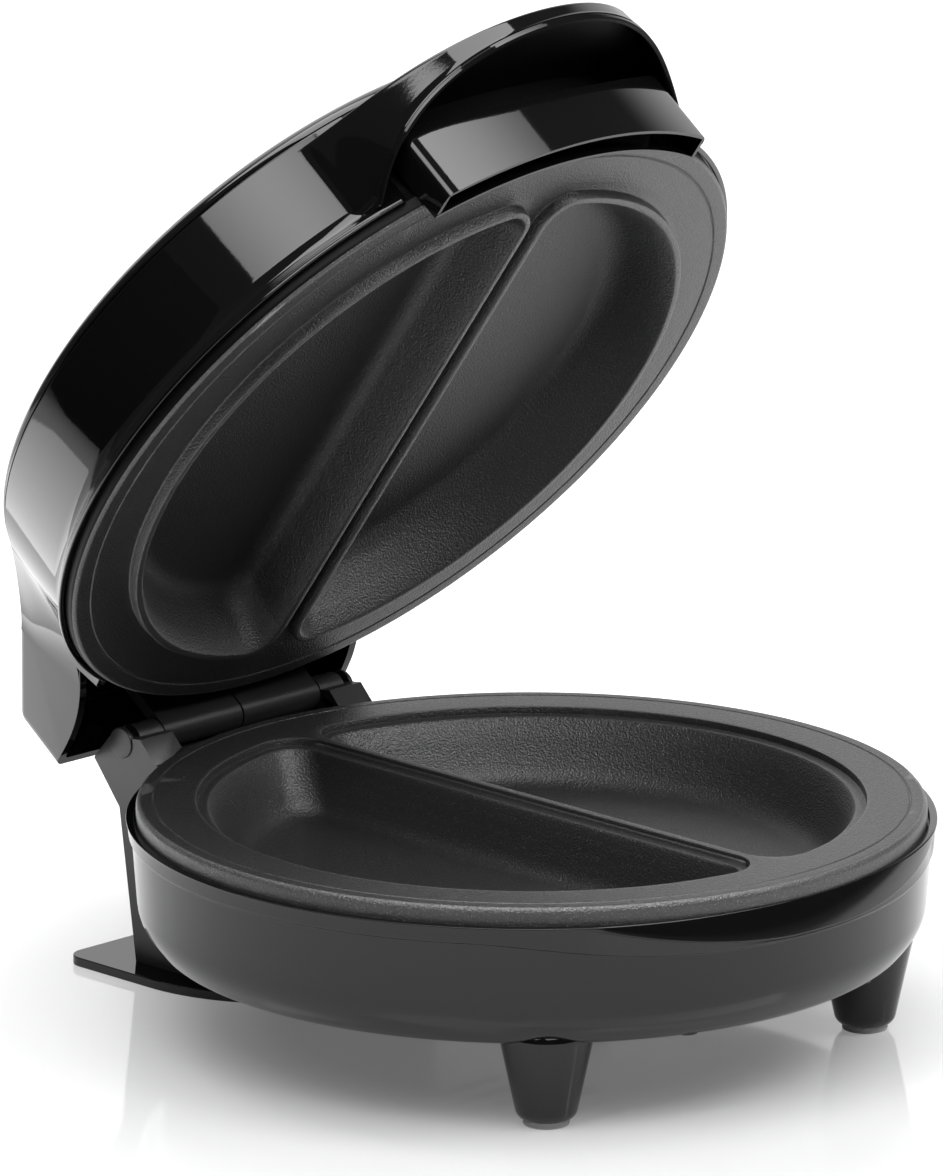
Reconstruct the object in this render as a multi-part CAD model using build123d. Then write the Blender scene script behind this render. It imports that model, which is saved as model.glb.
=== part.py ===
from build123d import *
import os
from math import atan2, cos, degrees, radians, sin, sqrt, tan

# Clamshell omelette cooker with the lid standing open.
# The model is worked out in a frame whose Z axis runs through the middle of the two round cooking
# plates, with the floor at zero, the front (grip side) towards -Y and the hinge towards +Y.
# The lid is built closed and is then swung open about the hinge. All sizes are in millimetres.

os.makedirs("parts", exist_ok=True)

# ---- driving sizes: stance and hinge ----
rim_height = 57.6
lid_open_angle = 53.7
hinge_behind_band = 10.3
hinge_pin_diameter = 4.0
knuckle_diameter = 8.0
knuckle_span = 53.0
lug_width = 8.0

# ---- driving sizes: cooking plates ----
lower_plate_diameter = 192.4
upper_plate_diameter = 194.0
closed_plate_gap = 1.4
collar_height = 2.9
nesting_clearance = 0.4
cavity_top_radius = 78.4
cavity_floor_radius = 71.0
cavity_depth = 15.6
cavity_corner_radius = 7.0
cavity_floor_fillet = 5.0
divider_width = 8.2
divider_draft = 3.0
collar_foot_radius = 81.0
collar_draft = 20.0
rim_sheet = 3.0
plate_wall = 2.2
plate_edge_round = 1.2
ridge_half_width = 2.25
ridge_drop = 0.95
ridge_half_length = 76.0
rim_groove_radius = 92.0
rim_groove_width = 0.8

# ---- driving sizes: base ----
plate_clearance = 0.4
lower_plate_stand = 4.4
lower_skirt_height = 6.0
base_flange_wall = 2.1
bevel_height = 4.0
base_wall_inset = 1.4
base_waist_inset = 1.5
base_waist_height = 28.9
base_bottom_inset = 6.3
base_bottom_height = 21.9
shell_wall = 2.2
service_opening_radius = 60.0
cover_rebate_width = 8.0
vent_slot_length = 44.0
vent_slot_width = 3.0
vent_slot_pitch = 8.0
vent_slot_taper = 6.0
front_lip_drop = 8.4
front_lip_slope = 21.5

# ---- driving sizes: feet and rear stand; an offset is measured backwards from the hinge ----
foot_spacing = 110.0
foot_front_distance = 60.0
foot_top_radius = 11.2
foot_tip_radius = 7.2
foot_pad_radius = 5.6
foot_pad_height = 1.6
stand_half_width = 38.0
stand_foot_rear_offset = -4.7
stand_foot_front_offset = -33.1
stand_waist_rear_offset = 0.9
stand_waist_height = 41.0
stand_shoulder_rear_offset = 9.9
stand_shoulder_height = 52.0
stand_top_rear_offset = 4.4
stand_top_front_offset = -6.7
stand_crown = 2.1
sole_half_width = 46.0
sole_rear_offset = 12.6
sole_centre_offset = -18.1
sole_thickness = 2.4
cord_hole_diameter = 7.0
cord_hole_height = 26.0
cord_sleeve_wall = 1.5
cord_flange_width = 2.2
cord_flange_thickness = 1.8

# ---- driving sizes: lid ----
lid_lip_wall = 1.3
lid_lip_height = 1.0
upper_plate_stand = 3.2
lid_band_inset = 3.9
lid_flare_height = 4.2
lid_parting_height = 34.5
lid_dome_rise = 14.0
visor_radius = 54.3
visor_centre = 67.0
visor_wall = 1.6
visor_tip_height = 25.2
visor_top_slope = 9.4
visor_arch_radius = 57.0
visor_arch_crown = 20.5
grip_inner_inset = 1.2
grip_thickness = 7.1
grip_half_width = 43.6
grip_below_rim = 3.0
grip_top_height = 13.0
grip_top_slope = 30.0
hood_half_width = 45.0
hood_rear_offset = 13.4
hood_front_offset = -23.1
hood_bottom_height = 8.0
hood_rear_height = 23.6
hood_knee_rear_offset = -8.6
hood_knee_height = 39.3
hood_crown_height = 43.0

# ---- driving sizes: electric parts and fasteners ----
element_ring_radius = 48.0
element_tube_diameter = 6.4
element_gap_angle = 36.0
terminal_pin_diameter = 3.2
terminal_pin_length = 8.0
reflector_radius = 68.0
reflector_sheet = 0.8
reflector_drop = 8.0
thermostat_diameter = 16.0
thermostat_height = 6.5
thermostat_offset = 30.0
fuse_diameter = 4.0
fuse_length = 15.0
lead_diameter = 2.6
terminal_block_width = 36.0
terminal_block_depth = 10.0
terminal_block_height = 9.0
plate_screw_inset = 9.2
plate_screw_angles = (40, 140, 250, 290)
plate_boss_diameter = 8.0
upper_boss_height = 7.6
lower_boss_height = 9.0
screw_diameter = 3.0
screw_head_diameter = 5.6
screw_head_height = 2.0
screw_bite = 7.0
cover_boss_inset = 10.8
cover_boss_angle = 20.0
cover_ear_height = 24.0
ear_thickness = 2.4
ear_width = 10.0
lens_diameter = 6.0
lens_spacing = 20.0
lens_front_distance = 58.0
lens_proud = 0.8
bracket_height = 28.0
bracket_plate = 3.0
bracket_screw_spacing = 28.0
grip_screw_spacing = 44.0

# ---- named clearances ----
seat_clearance = 0.2
moving_clearance = 0.5
pin_clearance = 0.08
hole_clearance = 0.1
element_clearance = 0.05

# ---- levels and places that everything else is tied to ----
hinge_height = rim_height
upper_rim_height = rim_height + closed_plate_gap
recess_depth = collar_height - closed_plate_gap + nesting_clearance
base_flange_top = rim_height - lower_plate_stand
base_flange_radius = lower_plate_diameter / 2 + plate_clearance + base_flange_wall
base_wall_radius = base_flange_radius - base_wall_inset
base_waist_radius = base_wall_radius - base_waist_inset
base_bottom_radius = base_waist_radius - base_bottom_inset
plate_screw_radius = lower_plate_diameter / 2 - plate_screw_inset
lid_lip_outer_radius = upper_plate_diameter / 2 + plate_clearance + lid_lip_wall
lid_band_radius = lid_lip_outer_radius - lid_band_inset
grip_inner_radius = lid_lip_outer_radius - grip_inner_inset
grip_outer_radius = grip_inner_radius + grip_thickness
cover_boss_radius = lid_band_radius - cover_boss_inset
hinge_behind_axis = lid_band_radius + hinge_behind_band
stand_foot_rear = hinge_behind_axis + stand_foot_rear_offset
stand_foot_front = hinge_behind_axis + stand_foot_front_offset
stand_waist_rear = hinge_behind_axis + stand_waist_rear_offset
stand_shoulder_rear = hinge_behind_axis + stand_shoulder_rear_offset
stand_top_rear = hinge_behind_axis + stand_top_rear_offset
stand_top_front = hinge_behind_axis + stand_top_front_offset
sole_rear = hinge_behind_axis + sole_rear_offset
sole_round_centre = hinge_behind_axis + sole_centre_offset
hood_rear = hinge_behind_axis + hood_rear_offset
hood_front = hinge_behind_axis + hood_front_offset
hood_knee_rear = hinge_behind_axis + hood_knee_rear_offset
lower_ledge_height = rim_height - lower_skirt_height
base_floor_top = base_bottom_height + shell_wall
lid_lip_bottom = upper_rim_height + upper_plate_stand
lid_ledge_height = lid_lip_bottom + lid_lip_height
upper_skirt_height = lid_ledge_height - upper_rim_height
lid_flare_top = lid_ledge_height + lid_flare_height
parting_height = rim_height + lid_parting_height
lid_wall = shell_wall + seat_clearance
lid_inner_radius = lid_band_radius - lid_wall
hinge_axis = Axis((0, hinge_behind_axis, hinge_height), (1, 0, 0))
reach = 400.0


def turned(points, sweep=360):
    """Solid of revolution about Z from (radius, height) points."""
    outline = Plane.XZ * Polyline(*points, close=True)
    return revolve(make_face(outline), Axis.Z, sweep)


def side_extrusion(wire, half_width):
    """Prism along X, centred, from a closed wire drawn in (y, z)."""
    return extrude(make_face(Plane.YZ * wire), half_width, both=True)


def rod_z(radius, bottom, top, x=0.0, y=0.0):
    """Upright cylinder between two heights."""
    return Pos(x, y, (bottom + top) / 2) * Cylinder(radius, top - bottom)


def rod_y(radius, front, rear, x=0.0, z=0.0):
    """Cylinder that lies along Y between two distances."""
    return Pos(x, (front + rear) / 2, z) * Rot(90, 0, 0) * Cylinder(radius, rear - front)


def rod_x(radius, left, right, y=0.0, z=0.0):
    """Cylinder that lies along X between two distances."""
    return Pos((left + right) / 2, y, z) * Rot(0, 90, 0) * Cylinder(radius, right - left)


def block(x_low, x_high, y_low, y_high, z_low, z_high):
    """Box between two opposite corners."""
    middle = Pos((x_low + x_high) / 2, (y_low + y_high) / 2, (z_low + z_high) / 2)
    return middle * Box(x_high - x_low, y_high - y_low, z_high - z_low)


def mirrored(piece):
    """The same piece on the other side of the YZ plane."""
    return mirror(piece, Plane.YZ)


def polar(radius, angle):
    """(x, y) at an angle in degrees from +X."""
    return radius * cos(radians(angle)), radius * sin(radians(angle))


def screw_up(x, y, head_bottom, tip):
    """Pan-head screw that points up."""
    head = rod_z(screw_head_diameter / 2, head_bottom, head_bottom + screw_head_height, x, y)
    return head + rod_z(screw_diameter / 2, head_bottom + screw_head_height, tip, x, y)


def screw_down(x, y, head_top, tip):
    """Pan-head screw that points down."""
    head = rod_z(screw_head_diameter / 2, head_top - screw_head_height, head_top, x, y)
    return head + rod_z(screw_diameter / 2, tip, head_top - screw_head_height, x, y)


def screw_hole_z(x, y, bottom, top):
    """Upright clearance hole for a screw shank."""
    return rod_z(screw_diameter / 2 + hole_clearance, bottom, top, x, y)


# ---- cooking plates ----
def half_moon(radius, inset, height, corner):
    """Half-moon face on the +X side, its straight side at the inset."""
    disc = Circle(radius)
    keep = Pos(inset + radius, 0) * Rectangle(2 * radius, 4 * radius)
    moon = disc & keep
    moon = fillet(moon.vertices(), corner)
    return Pos(0, 0, height) * moon


def pan(top_level, grow, corner):
    """Drafted half-moon body; grow makes the outside of the pan from the inside of it."""
    floor_level = top_level - cavity_depth - grow
    top = half_moon(cavity_top_radius + grow, divider_width / 2 - grow, top_level, corner)
    floor_inset = divider_width / 2 + divider_draft - grow
    floor = half_moon(cavity_floor_radius + grow, floor_inset, floor_level, corner)
    body = loft([top, floor], ruled=True)
    floor_edges = body.edges().group_by(Axis.Z)[0]
    return fillet(floor_edges, cavity_floor_fillet + grow / 2)


def pan_collar(width, step):
    """Half-moon slab round one pan, from the rim plane to the step, that tapers when it stands up."""
    draw_in = max(step, 0) * tan(radians(collar_draft))
    foot_face = half_moon(cavity_top_radius + width, divider_width / 2 - width, 0,
                          cavity_corner_radius + width)
    width -= draw_in
    crest_face = half_moon(cavity_top_radius + width, divider_width / 2 - width, step,
                           cavity_corner_radius + width)
    return loft([foot_face, crest_face], ruled=True)


def cooking_plate(diameter, step, skirt, boss_height):
    """Plate with two half-moon pans, its rim plane at zero and its cooking side up.

    Round each pan runs a collar that stands step above the rim plane, or, when step is negative,
    a ledge that lies below it, with a low ridge between the two ledges.
    """
    radius = diameter / 2
    lowered = step < 0
    foot = collar_foot_radius + (plate_clearance if lowered else 0)
    inner_bottom = min(step, 0) - rim_sheet
    rim = turned([
        (0, 0), (radius, 0), (radius, -skirt), (radius - rim_sheet, -skirt),
        (radius - rim_sheet, -rim_sheet), (foot + rim_sheet, -rim_sheet),
        (foot, inner_bottom), (0, inner_bottom),
    ])
    rim = fillet(rim.edges().filter_by(GeomType.CIRCLE).group_by(Axis.Z)[-1]
                 .sort_by(SortBy.RADIUS)[-1:], plate_edge_round)
    collar = pan_collar(foot - cavity_top_radius, step)
    if lowered:
        rim -= collar + mirrored(collar)
        rim -= block(-ridge_half_width, ridge_half_width, -ridge_half_length, ridge_half_length,
                     -ridge_drop, reach)
        rim += block(-ridge_half_width, ridge_half_width, -ridge_half_length, ridge_half_length,
                     step - 0.5, -ridge_drop)
    else:
        rim += collar + mirrored(collar)
    groove = turned([
        (rim_groove_radius, -rim_groove_width / 2), (rim_groove_radius + rim_groove_width / 2, 1),
        (rim_groove_radius - rim_groove_width / 2, 1),
    ])
    outside = pan(step - plate_wall, plate_wall, cavity_corner_radius + plate_wall)
    outside = Pos(0, 0, plate_wall) * outside
    outside &= block(-reach, reach, -reach, reach, -reach, inner_bottom + rim_sheet / 2)
    cavity = pan(step, 0.0, cavity_corner_radius)
    plate = rim + outside + mirrored(outside)
    under = step - cavity_depth - plate_wall
    post_bottom = under - reflector_drop + element_clearance
    plate += rod_z(plate_boss_diameter / 2, post_bottom, inner_bottom + 0.5)
    rib_height = element_tube_diameter / 2
    for inner in (-1, 1):
        rib_radius = element_ring_radius + inner * (element_tube_diameter / 2 + seat_clearance)
        rib = turned([
            (rib_radius, under - rib_height), (rib_radius, under + plate_wall / 2),
            (rib_radius + inner * 1.2, under + plate_wall / 2), (rib_radius + inner * 1.2, under - rib_height),
        ])
        rib -= block(-divider_width, divider_width, -reach, reach, -reach, reach)
        plate += rib
    for angle in plate_screw_angles:
        x, y = polar(plate_screw_radius, angle)
        plate += rod_z(plate_boss_diameter / 2, -boss_height, -rim_sheet / 2, x, y)
        plate -= screw_hole_z(x, y, -boss_height - 1, -rim_sheet + 0.6)
    plate -= rod_z(screw_diameter / 2 + hole_clearance, post_bottom - 1, post_bottom + screw_bite)
    return plate - cavity - mirrored(cavity) - groove


def heating_element(top):
    """Horseshoe tube that lies against the pans, with an upright pin at each end, gap at +Y."""
    centre = top - element_tube_diameter / 2 - element_clearance
    ring = Plane.XZ * Pos(element_ring_radius, centre) * Circle(element_tube_diameter / 2)
    ring = Rot(0, 0, 90 + element_gap_angle / 2) * revolve(ring, Axis.Z, 360 - element_gap_angle)
    element = ring
    for side in (-1, 1):
        x, y = polar(element_ring_radius, 90 + side * (element_gap_angle / 2 + 2))
        element += rod_z(terminal_pin_diameter / 2, centre - terminal_pin_length, centre, x, y)
    return element


def element_pins():
    """(x, y) of the two terminal pins."""
    return [polar(element_ring_radius, 90 + side * (element_gap_angle / 2 + 2)) for side in (-1, 1)]


def heat_reflector(top):
    """Shallow sheet dish under the element, held at its middle."""
    bottom = top - reflector_drop
    dish = turned([
        (0, bottom), (0, bottom - reflector_sheet), (reflector_radius - 3, bottom - reflector_sheet),
        (reflector_radius, bottom + 4), (reflector_radius - reflector_sheet, bottom + 4),
        (reflector_radius - 3 - reflector_sheet, bottom),
    ])
    for x, y in element_pins():
        dish -= rod_z(terminal_pin_diameter, bottom - 2, bottom + 1, x, y)
    return dish - screw_hole_z(0, 0, bottom - 2, bottom + 1)


lower_step = -recess_depth
lower_pan_bottom = rim_height + lower_step - cavity_depth - plate_wall
at_lower_rim = Pos(0, 0, rim_height)
lower_cooking_plate = at_lower_rim * cooking_plate(
    lower_plate_diameter, lower_step, lower_skirt_height, lower_boss_height)

at_upper_rim = Pos(0, 0, upper_rim_height) * Rot(0, 180, 0)
upper_pan_top = upper_rim_height - collar_height + cavity_depth + plate_wall
upper_cooking_plate = at_upper_rim * cooking_plate(
    upper_plate_diameter, collar_height, upper_skirt_height, upper_boss_height)

lower_element = heating_element(lower_pan_bottom)
lower_reflector = heat_reflector(lower_pan_bottom)
upper_local_bottom = collar_height - cavity_depth - plate_wall
upper_element = at_upper_rim * heating_element(upper_local_bottom)
upper_reflector = at_upper_rim * heat_reflector(upper_local_bottom)


def reflector_screw(top):
    """Screw at the middle of a reflector, in the frame of its plate."""
    bottom = top - reflector_drop - reflector_sheet
    return screw_up(0, 0, bottom - screw_head_height, bottom + screw_bite - 1)


lower_reflector_screw = reflector_screw(lower_pan_bottom)
upper_reflector_screw = at_upper_rim * reflector_screw(upper_local_bottom)

# ---- thermostat and fuse on the lower pans ----
thermostat_top = lower_pan_bottom
thermostat = rod_z(thermostat_diameter / 2, thermostat_top - thermostat_height, thermostat_top,
                   -thermostat_offset)
for side in (-1, 1):
    thermostat += block(
        -thermostat_offset - 2, -thermostat_offset + 2, side * thermostat_diameter / 2 - 3,
        side * thermostat_diameter / 2 + 3, thermostat_top - thermostat_height,
        thermostat_top - thermostat_height + 1)
fuse_centre = lower_pan_bottom - fuse_diameter / 2 - element_clearance
thermal_fuse = rod_y(fuse_diameter / 2, -fuse_length / 2, fuse_length / 2, thermostat_offset, fuse_centre)
thermal_fuse += rod_y(0.5, -fuse_length, fuse_length, thermostat_offset, fuse_centre)

# ---- base shell ----
band_low = base_flange_top - bevel_height
inner_flange_radius = lower_plate_diameter / 2 + plate_clearance
step_radius = base_flange_radius - 1.0
base_shell = turned([
    (inner_flange_radius, base_flange_top), (base_flange_radius, base_flange_top),
    (step_radius, band_low), (base_wall_radius, band_low), (base_waist_radius, base_waist_height),
    (base_bottom_radius + 2, base_bottom_height + 1.2), (base_bottom_radius, base_bottom_height),
    (service_opening_radius, base_bottom_height), (service_opening_radius, base_floor_top),
    (base_bottom_radius - 0.5, base_floor_top), (base_waist_radius - shell_wall, base_waist_height),
    (base_wall_radius - shell_wall, lower_ledge_height - 3.5),
    (lower_plate_diameter / 2 - rim_sheet - 0.6, lower_ledge_height - 1.2),
    (lower_plate_diameter / 2 - rim_sheet - 0.6, lower_ledge_height),
    (inner_flange_radius, lower_ledge_height),
])
lip_bottom = base_flange_top - front_lip_drop
front_lip = turned([
    (base_wall_radius - 0.5, base_flange_top - 0.5), (base_flange_radius, base_flange_top - 0.5),
    (base_flange_radius, lip_bottom), (base_wall_radius - 0.5, lip_bottom),
])
lip_cutter = Pos(0, -base_flange_radius, lip_bottom) * Rot(front_lip_slope, 0, 0)
front_lip -= lip_cutter * block(-reach, reach, -reach, reach, -reach, 0)
front_lip &= block(-reach, reach, -reach, 0, 0, reach)
base_shell += front_lip
rebate_radius = service_opening_radius + cover_rebate_width
base_shell -= rod_z(rebate_radius, base_bottom_height - 1, base_bottom_height + shell_wall / 2)
lower_boss_bottom = rim_height - lower_boss_height
for angle in plate_screw_angles:
    x, y = polar(plate_screw_radius, angle)
    base_shell += rod_z(plate_boss_diameter / 2, base_floor_top - 0.5, lower_boss_bottom, x, y)
    base_shell -= screw_hole_z(x, y, base_bottom_height - 1, lower_boss_bottom + 1)
    base_shell -= rod_z(screw_head_diameter / 2 + seat_clearance, base_bottom_height - 1,
                        base_bottom_height + screw_head_height, x, y)
lower_plate_screws = Compound(children=[
    screw_up(*polar(plate_screw_radius, angle), base_bottom_height, lower_boss_bottom + screw_bite - 2)
    for angle in plate_screw_angles
])

# ---- service cover under the base ----
cover_screw_radius = service_opening_radius + cover_rebate_width / 2
bottom_cover = rod_z(rebate_radius - seat_clearance, base_bottom_height,
                     base_bottom_height + shell_wall / 2)
bottom_cover += rod_z(service_opening_radius - seat_clearance, base_bottom_height, base_floor_top)
for row in range(-3, 4):
    slot_length = vent_slot_length - abs(row) * vent_slot_taper
    slot = Pos(0, row * vent_slot_pitch, base_bottom_height) * Box(
        slot_length, vent_slot_width, 4 * shell_wall)
    bottom_cover -= slot
cover_screws = []
cover_screw_boss = 6.0
for angle in (30, 150, 270):
    x, y = polar(cover_screw_radius, angle)
    base_shell += rod_z(cover_screw_boss / 2, base_bottom_height + shell_wall / 2,
                        base_floor_top + 4.0, x, y)
    base_shell -= screw_hole_z(x, y, base_bottom_height, base_floor_top + 3.2)
    bottom_cover -= screw_hole_z(x, y, base_bottom_height - 1, base_floor_top)
    cover_screws.append(screw_up(x, y, base_bottom_height - screw_head_height, base_floor_top + 3.0))
bottom_cover_screws = Compound(children=cover_screws)

# ---- front feet ----
front_feet = []
foot_pads = []
for side in (-1, 1):
    foot = turned([
        (0, foot_pad_height), (foot_tip_radius - 1.6, foot_pad_height),
        (foot_tip_radius, foot_pad_height + 1.4), (foot_top_radius, base_bottom_height - 1.5),
        (foot_top_radius, base_bottom_height), (0, base_bottom_height),
    ])
    foot -= rod_z(foot_pad_radius - 1, 0, foot_pad_height + 1.5)
    pad = turned([
        (0, 0), (foot_pad_radius - 0.6, 0), (foot_pad_radius, 0.6), (foot_pad_radius, foot_pad_height),
        (foot_pad_radius - 1 - seat_clearance, foot_pad_height),
        (foot_pad_radius - 1 - seat_clearance, foot_pad_height + 1.5), (0, foot_pad_height + 1.5),
    ])
    place = Pos(side * foot_spacing / 2, -foot_front_distance, 0)
    front_feet.append(place * foot)
    foot_pads.append(place * pad)

# ---- rear stand with the hinge lugs ----
sole_top = sole_thickness
stand_top = base_bottom_height - seat_clearance
stand_nose = stand_top_front - 5.4


def stand_outline(inset, bottom):
    """Side outline of the rear stand, drawn in (y, z) and pulled in by the inset."""
    crown = rim_height + stand_crown - inset
    return Polyline(
        (stand_foot_front + inset, bottom), (stand_foot_rear - inset, bottom),
        (stand_waist_rear - inset, stand_waist_height + inset / 2),
        (stand_shoulder_rear - 1.6 * inset, stand_shoulder_height),
        (stand_top_rear - inset / 2, crown - 1.4), (stand_top_front + inset / 3, crown),
        (stand_nose, crown - 5.6), (stand_nose - 12, crown - 5.6),
        (stand_nose - 12, stand_top - inset), (stand_foot_front + inset, stand_top - inset),
        close=True)


lug_inner = knuckle_span / 2 + moving_clearance
lug_outer = lug_inner + lug_width
rear_stand = side_extrusion(stand_outline(0.0, sole_top), stand_half_width)
rear_stand -= side_extrusion(stand_outline(shell_wall, sole_top - 1), stand_half_width - shell_wall)
slot_floor = hinge_height - knuckle_diameter / 2 - moving_clearance
rear_stand += block(-stand_half_width, stand_half_width, stand_nose, stand_shoulder_rear - 3.4,
                    slot_floor - shell_wall, slot_floor)
rear_stand &= side_extrusion(stand_outline(0.0, sole_top), stand_half_width)
rear_stand -= block(-lug_inner, lug_inner, 0, reach, slot_floor, reach)
for side in (-1, 1):
    lug = rod_x(knuckle_diameter / 2, lug_inner, lug_outer, hinge_behind_axis, hinge_height)
    lug += block(lug_inner, lug_outer, hinge_behind_axis - knuckle_diameter / 2,
                 hinge_behind_axis + knuckle_diameter / 2, slot_floor - 0.5, hinge_height)
    rear_stand += lug if side > 0 else mirrored(lug)
envelope = turned([
    (0, base_flange_top + 0.1), (base_flange_radius + seat_clearance, base_flange_top + 0.1),
    (base_flange_radius + seat_clearance, band_low - seat_clearance),
    (base_wall_radius + seat_clearance, band_low - seat_clearance),
    (base_waist_radius + seat_clearance, base_waist_height),
    (base_bottom_radius + 2, base_bottom_height), (0, base_bottom_height),
])
rear_stand -= envelope
rear_stand -= turned([
    (0, base_flange_top), (base_flange_radius + seat_clearance, base_flange_top),
    (base_flange_radius + seat_clearance, reach), (0, reach),
])
pin_radius = hinge_pin_diameter / 2
pin_length_half = stand_half_width - 1.6
rear_stand -= rod_x(pin_radius + hole_clearance / 2, -stand_half_width - 1, stand_half_width + 1,
                    hinge_behind_axis, hinge_height)
stand_screws = []
for side in (-1, 1):
    x = side * 22.0
    y = 80.0
    post = rod_z(plate_boss_diameter / 2, stand_top - 12, stand_top - shell_wall / 2, x, y)
    rear_stand += post
    rear_stand -= screw_hole_z(x, y, stand_top - 11, stand_top + 1)
    base_shell -= screw_hole_z(x, y, base_bottom_height - 1, base_floor_top + 1)
    stand_screws.append(screw_down(x, y, base_floor_top + screw_head_height, stand_top - 10))
stand_screws = Compound(children=stand_screws)

hinge_pin = rod_x(pin_radius, -pin_length_half, pin_length_half, hinge_behind_axis, hinge_height)

# ---- sole plate under the stand ----
sole = Pos(0, sole_round_centre) * Circle(sole_half_width)
sole -= Pos(0, sole_round_centre + reach / 2) * Rectangle(reach, reach)
sole += Pos(0, (sole_round_centre + sole_rear) / 2) * Rectangle(
    2 * sole_half_width, sole_rear - sole_round_centre)
rear_sole = extrude(sole, sole_thickness)
rear_corners = rear_sole.edges().filter_by(Axis.Z).group_by(Axis.Y)[-1]
rear_sole = fillet(rear_corners, 5.0)
sole_screws = []
for side in (-1, 1):
    x = side * 30.0
    y = stand_foot_rear - 10
    rear_stand += rod_z(plate_boss_diameter / 2, sole_top, sole_top + 12, x, y)
    rear_stand += block(min(x, side * stand_half_width), max(x, side * stand_half_width), y - 1, y + 1,
                        sole_top, sole_top + 12)
    rear_stand -= screw_hole_z(x, y, sole_top - 1, sole_top + 10)
    rear_sole -= screw_hole_z(x, y, -1, sole_top + 1)
    rear_sole -= rod_z(screw_head_diameter / 2 + seat_clearance, -1, 1.4, x, y)
    head = rod_z(screw_head_diameter / 2, 0.2, 1.4, x, y)
    sole_screws.append(head + rod_z(screw_diameter / 2, 1.4, sole_top + 9, x, y))
sole_screws = Compound(children=sole_screws)

# ---- cord inlet ring in the back of the stand ----
back_lean = degrees(atan2(stand_waist_rear - stand_foot_rear, stand_waist_height - sole_top))
back_y = stand_foot_rear + (cord_hole_height - sole_top) * tan(radians(back_lean))
on_stand_back = Pos(0, back_y, cord_hole_height) * Rot(-back_lean, 0, 0)
hole_radius = cord_hole_diameter / 2
sleeve_radius = hole_radius + cord_sleeve_wall
rear_stand -= on_stand_back * rod_y(sleeve_radius + seat_clearance / 2, -6, 6)
cord_inlet = rod_y(sleeve_radius, -4.0, cord_flange_thickness)
cord_inlet += rod_y(sleeve_radius + cord_flange_width, seat_clearance, cord_flange_thickness)
cord_inlet -= rod_y(hole_radius, -6, 6)
cord_inlet = on_stand_back * cord_inlet

# ---- terminal block and leads in the base ----
terminal_front = 73.0
terminal_block = block(-terminal_block_width / 2, terminal_block_width / 2, terminal_front,
                       terminal_front + terminal_block_depth, base_floor_top,
                       base_floor_top + terminal_block_height)
lead_height = base_floor_top + terminal_block_height / 2 - 1
base_leads = Compound(children=[
    rod_y(lead_diameter / 2, y + terminal_pin_diameter / 2 + element_clearance, terminal_front, x,
          lead_height)
    for x, y in element_pins()
])

# ---- lid housing: side band, front visor and rear hood in one moulding ----
lip_inner = upper_plate_diameter / 2 + plate_clearance
ledge_inner = upper_plate_diameter / 2 - rim_sheet - 2.8
lid_housing = turned([
    (lip_inner, lid_lip_bottom), (lid_lip_outer_radius, lid_lip_bottom),
    (lid_lip_outer_radius, lid_ledge_height), (lid_band_radius + 0.7, lid_flare_top - 1.4),
    (lid_band_radius, lid_flare_top), (lid_band_radius, parting_height),
    (lid_inner_radius, parting_height), (lid_inner_radius, lid_flare_top),
    (ledge_inner, lid_ledge_height + shell_wall), (ledge_inner, lid_ledge_height),
    (lip_inner, lid_ledge_height),
])
visor_top = rim_height + visor_tip_height
visor_tip = visor_centre + visor_radius


def visor_body(inset, roof_drop):
    """Upright half-round body of the visor under its sloping roof."""
    body = Pos(0, -visor_centre, 0) * rod_z(visor_radius - inset, 0, parting_height + 10)
    body &= block(-reach, reach, -reach, -visor_centre + 2, 0, reach)
    roof = Pos(0, -visor_tip, visor_top - roof_drop) * Rot(visor_top_slope, 0, 0)
    return body - roof * block(-reach, reach, -reach, reach, 0, reach)


arch_axis_height = rim_height + visor_arch_crown - visor_arch_radius
arch_cutter = rod_x(visor_arch_radius, -reach, reach, -visor_tip, arch_axis_height)
arch_cutter += block(-reach, reach, -visor_tip - reach, -visor_tip + visor_arch_radius,
                     arch_axis_height - reach, arch_axis_height)
visor = visor_body(0.0, 0.0) - visor_body(visor_wall, shell_wall) - arch_cutter
visor -= rod_z(lid_band_radius - 0.2, 0, reach)
visor -= rod_z(reach, 0, lid_lip_bottom)
visor -= rod_z(lip_inner, 0, lid_ledge_height)
lid_housing += visor
grip_pocket = turned([
    (grip_inner_radius - seat_clearance / 2, 0), (reach, 0), (reach, lid_flare_top),
    (grip_inner_radius - seat_clearance / 2, lid_flare_top),
])
pocket_half = grip_half_width + moving_clearance
grip_pocket &= block(-pocket_half, pocket_half, -reach, 0, 0, reach)
lid_housing -= grip_pocket

hood_lower_front = lid_band_radius - 1.0
hood_lower_rise = 11.0
hood_arch_middle = (hood_rear - 17.9, 4.3)


def hood_outline(inset, bottom):
    """Side outline of the rear hood, drawn in (y, z); the inset pulls the top, rear and front in."""
    rear = hood_rear - inset
    return Polyline(
        (hood_front + inset, bottom), (rear, bottom),
        (rear, rim_height + hood_rear_height - inset * 0.6),
        (hood_knee_rear - inset * 0.4, rim_height + hood_knee_height - inset * 1.2),
        (hood_front + inset, rim_height + hood_crown_height - inset),
        close=True)


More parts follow.
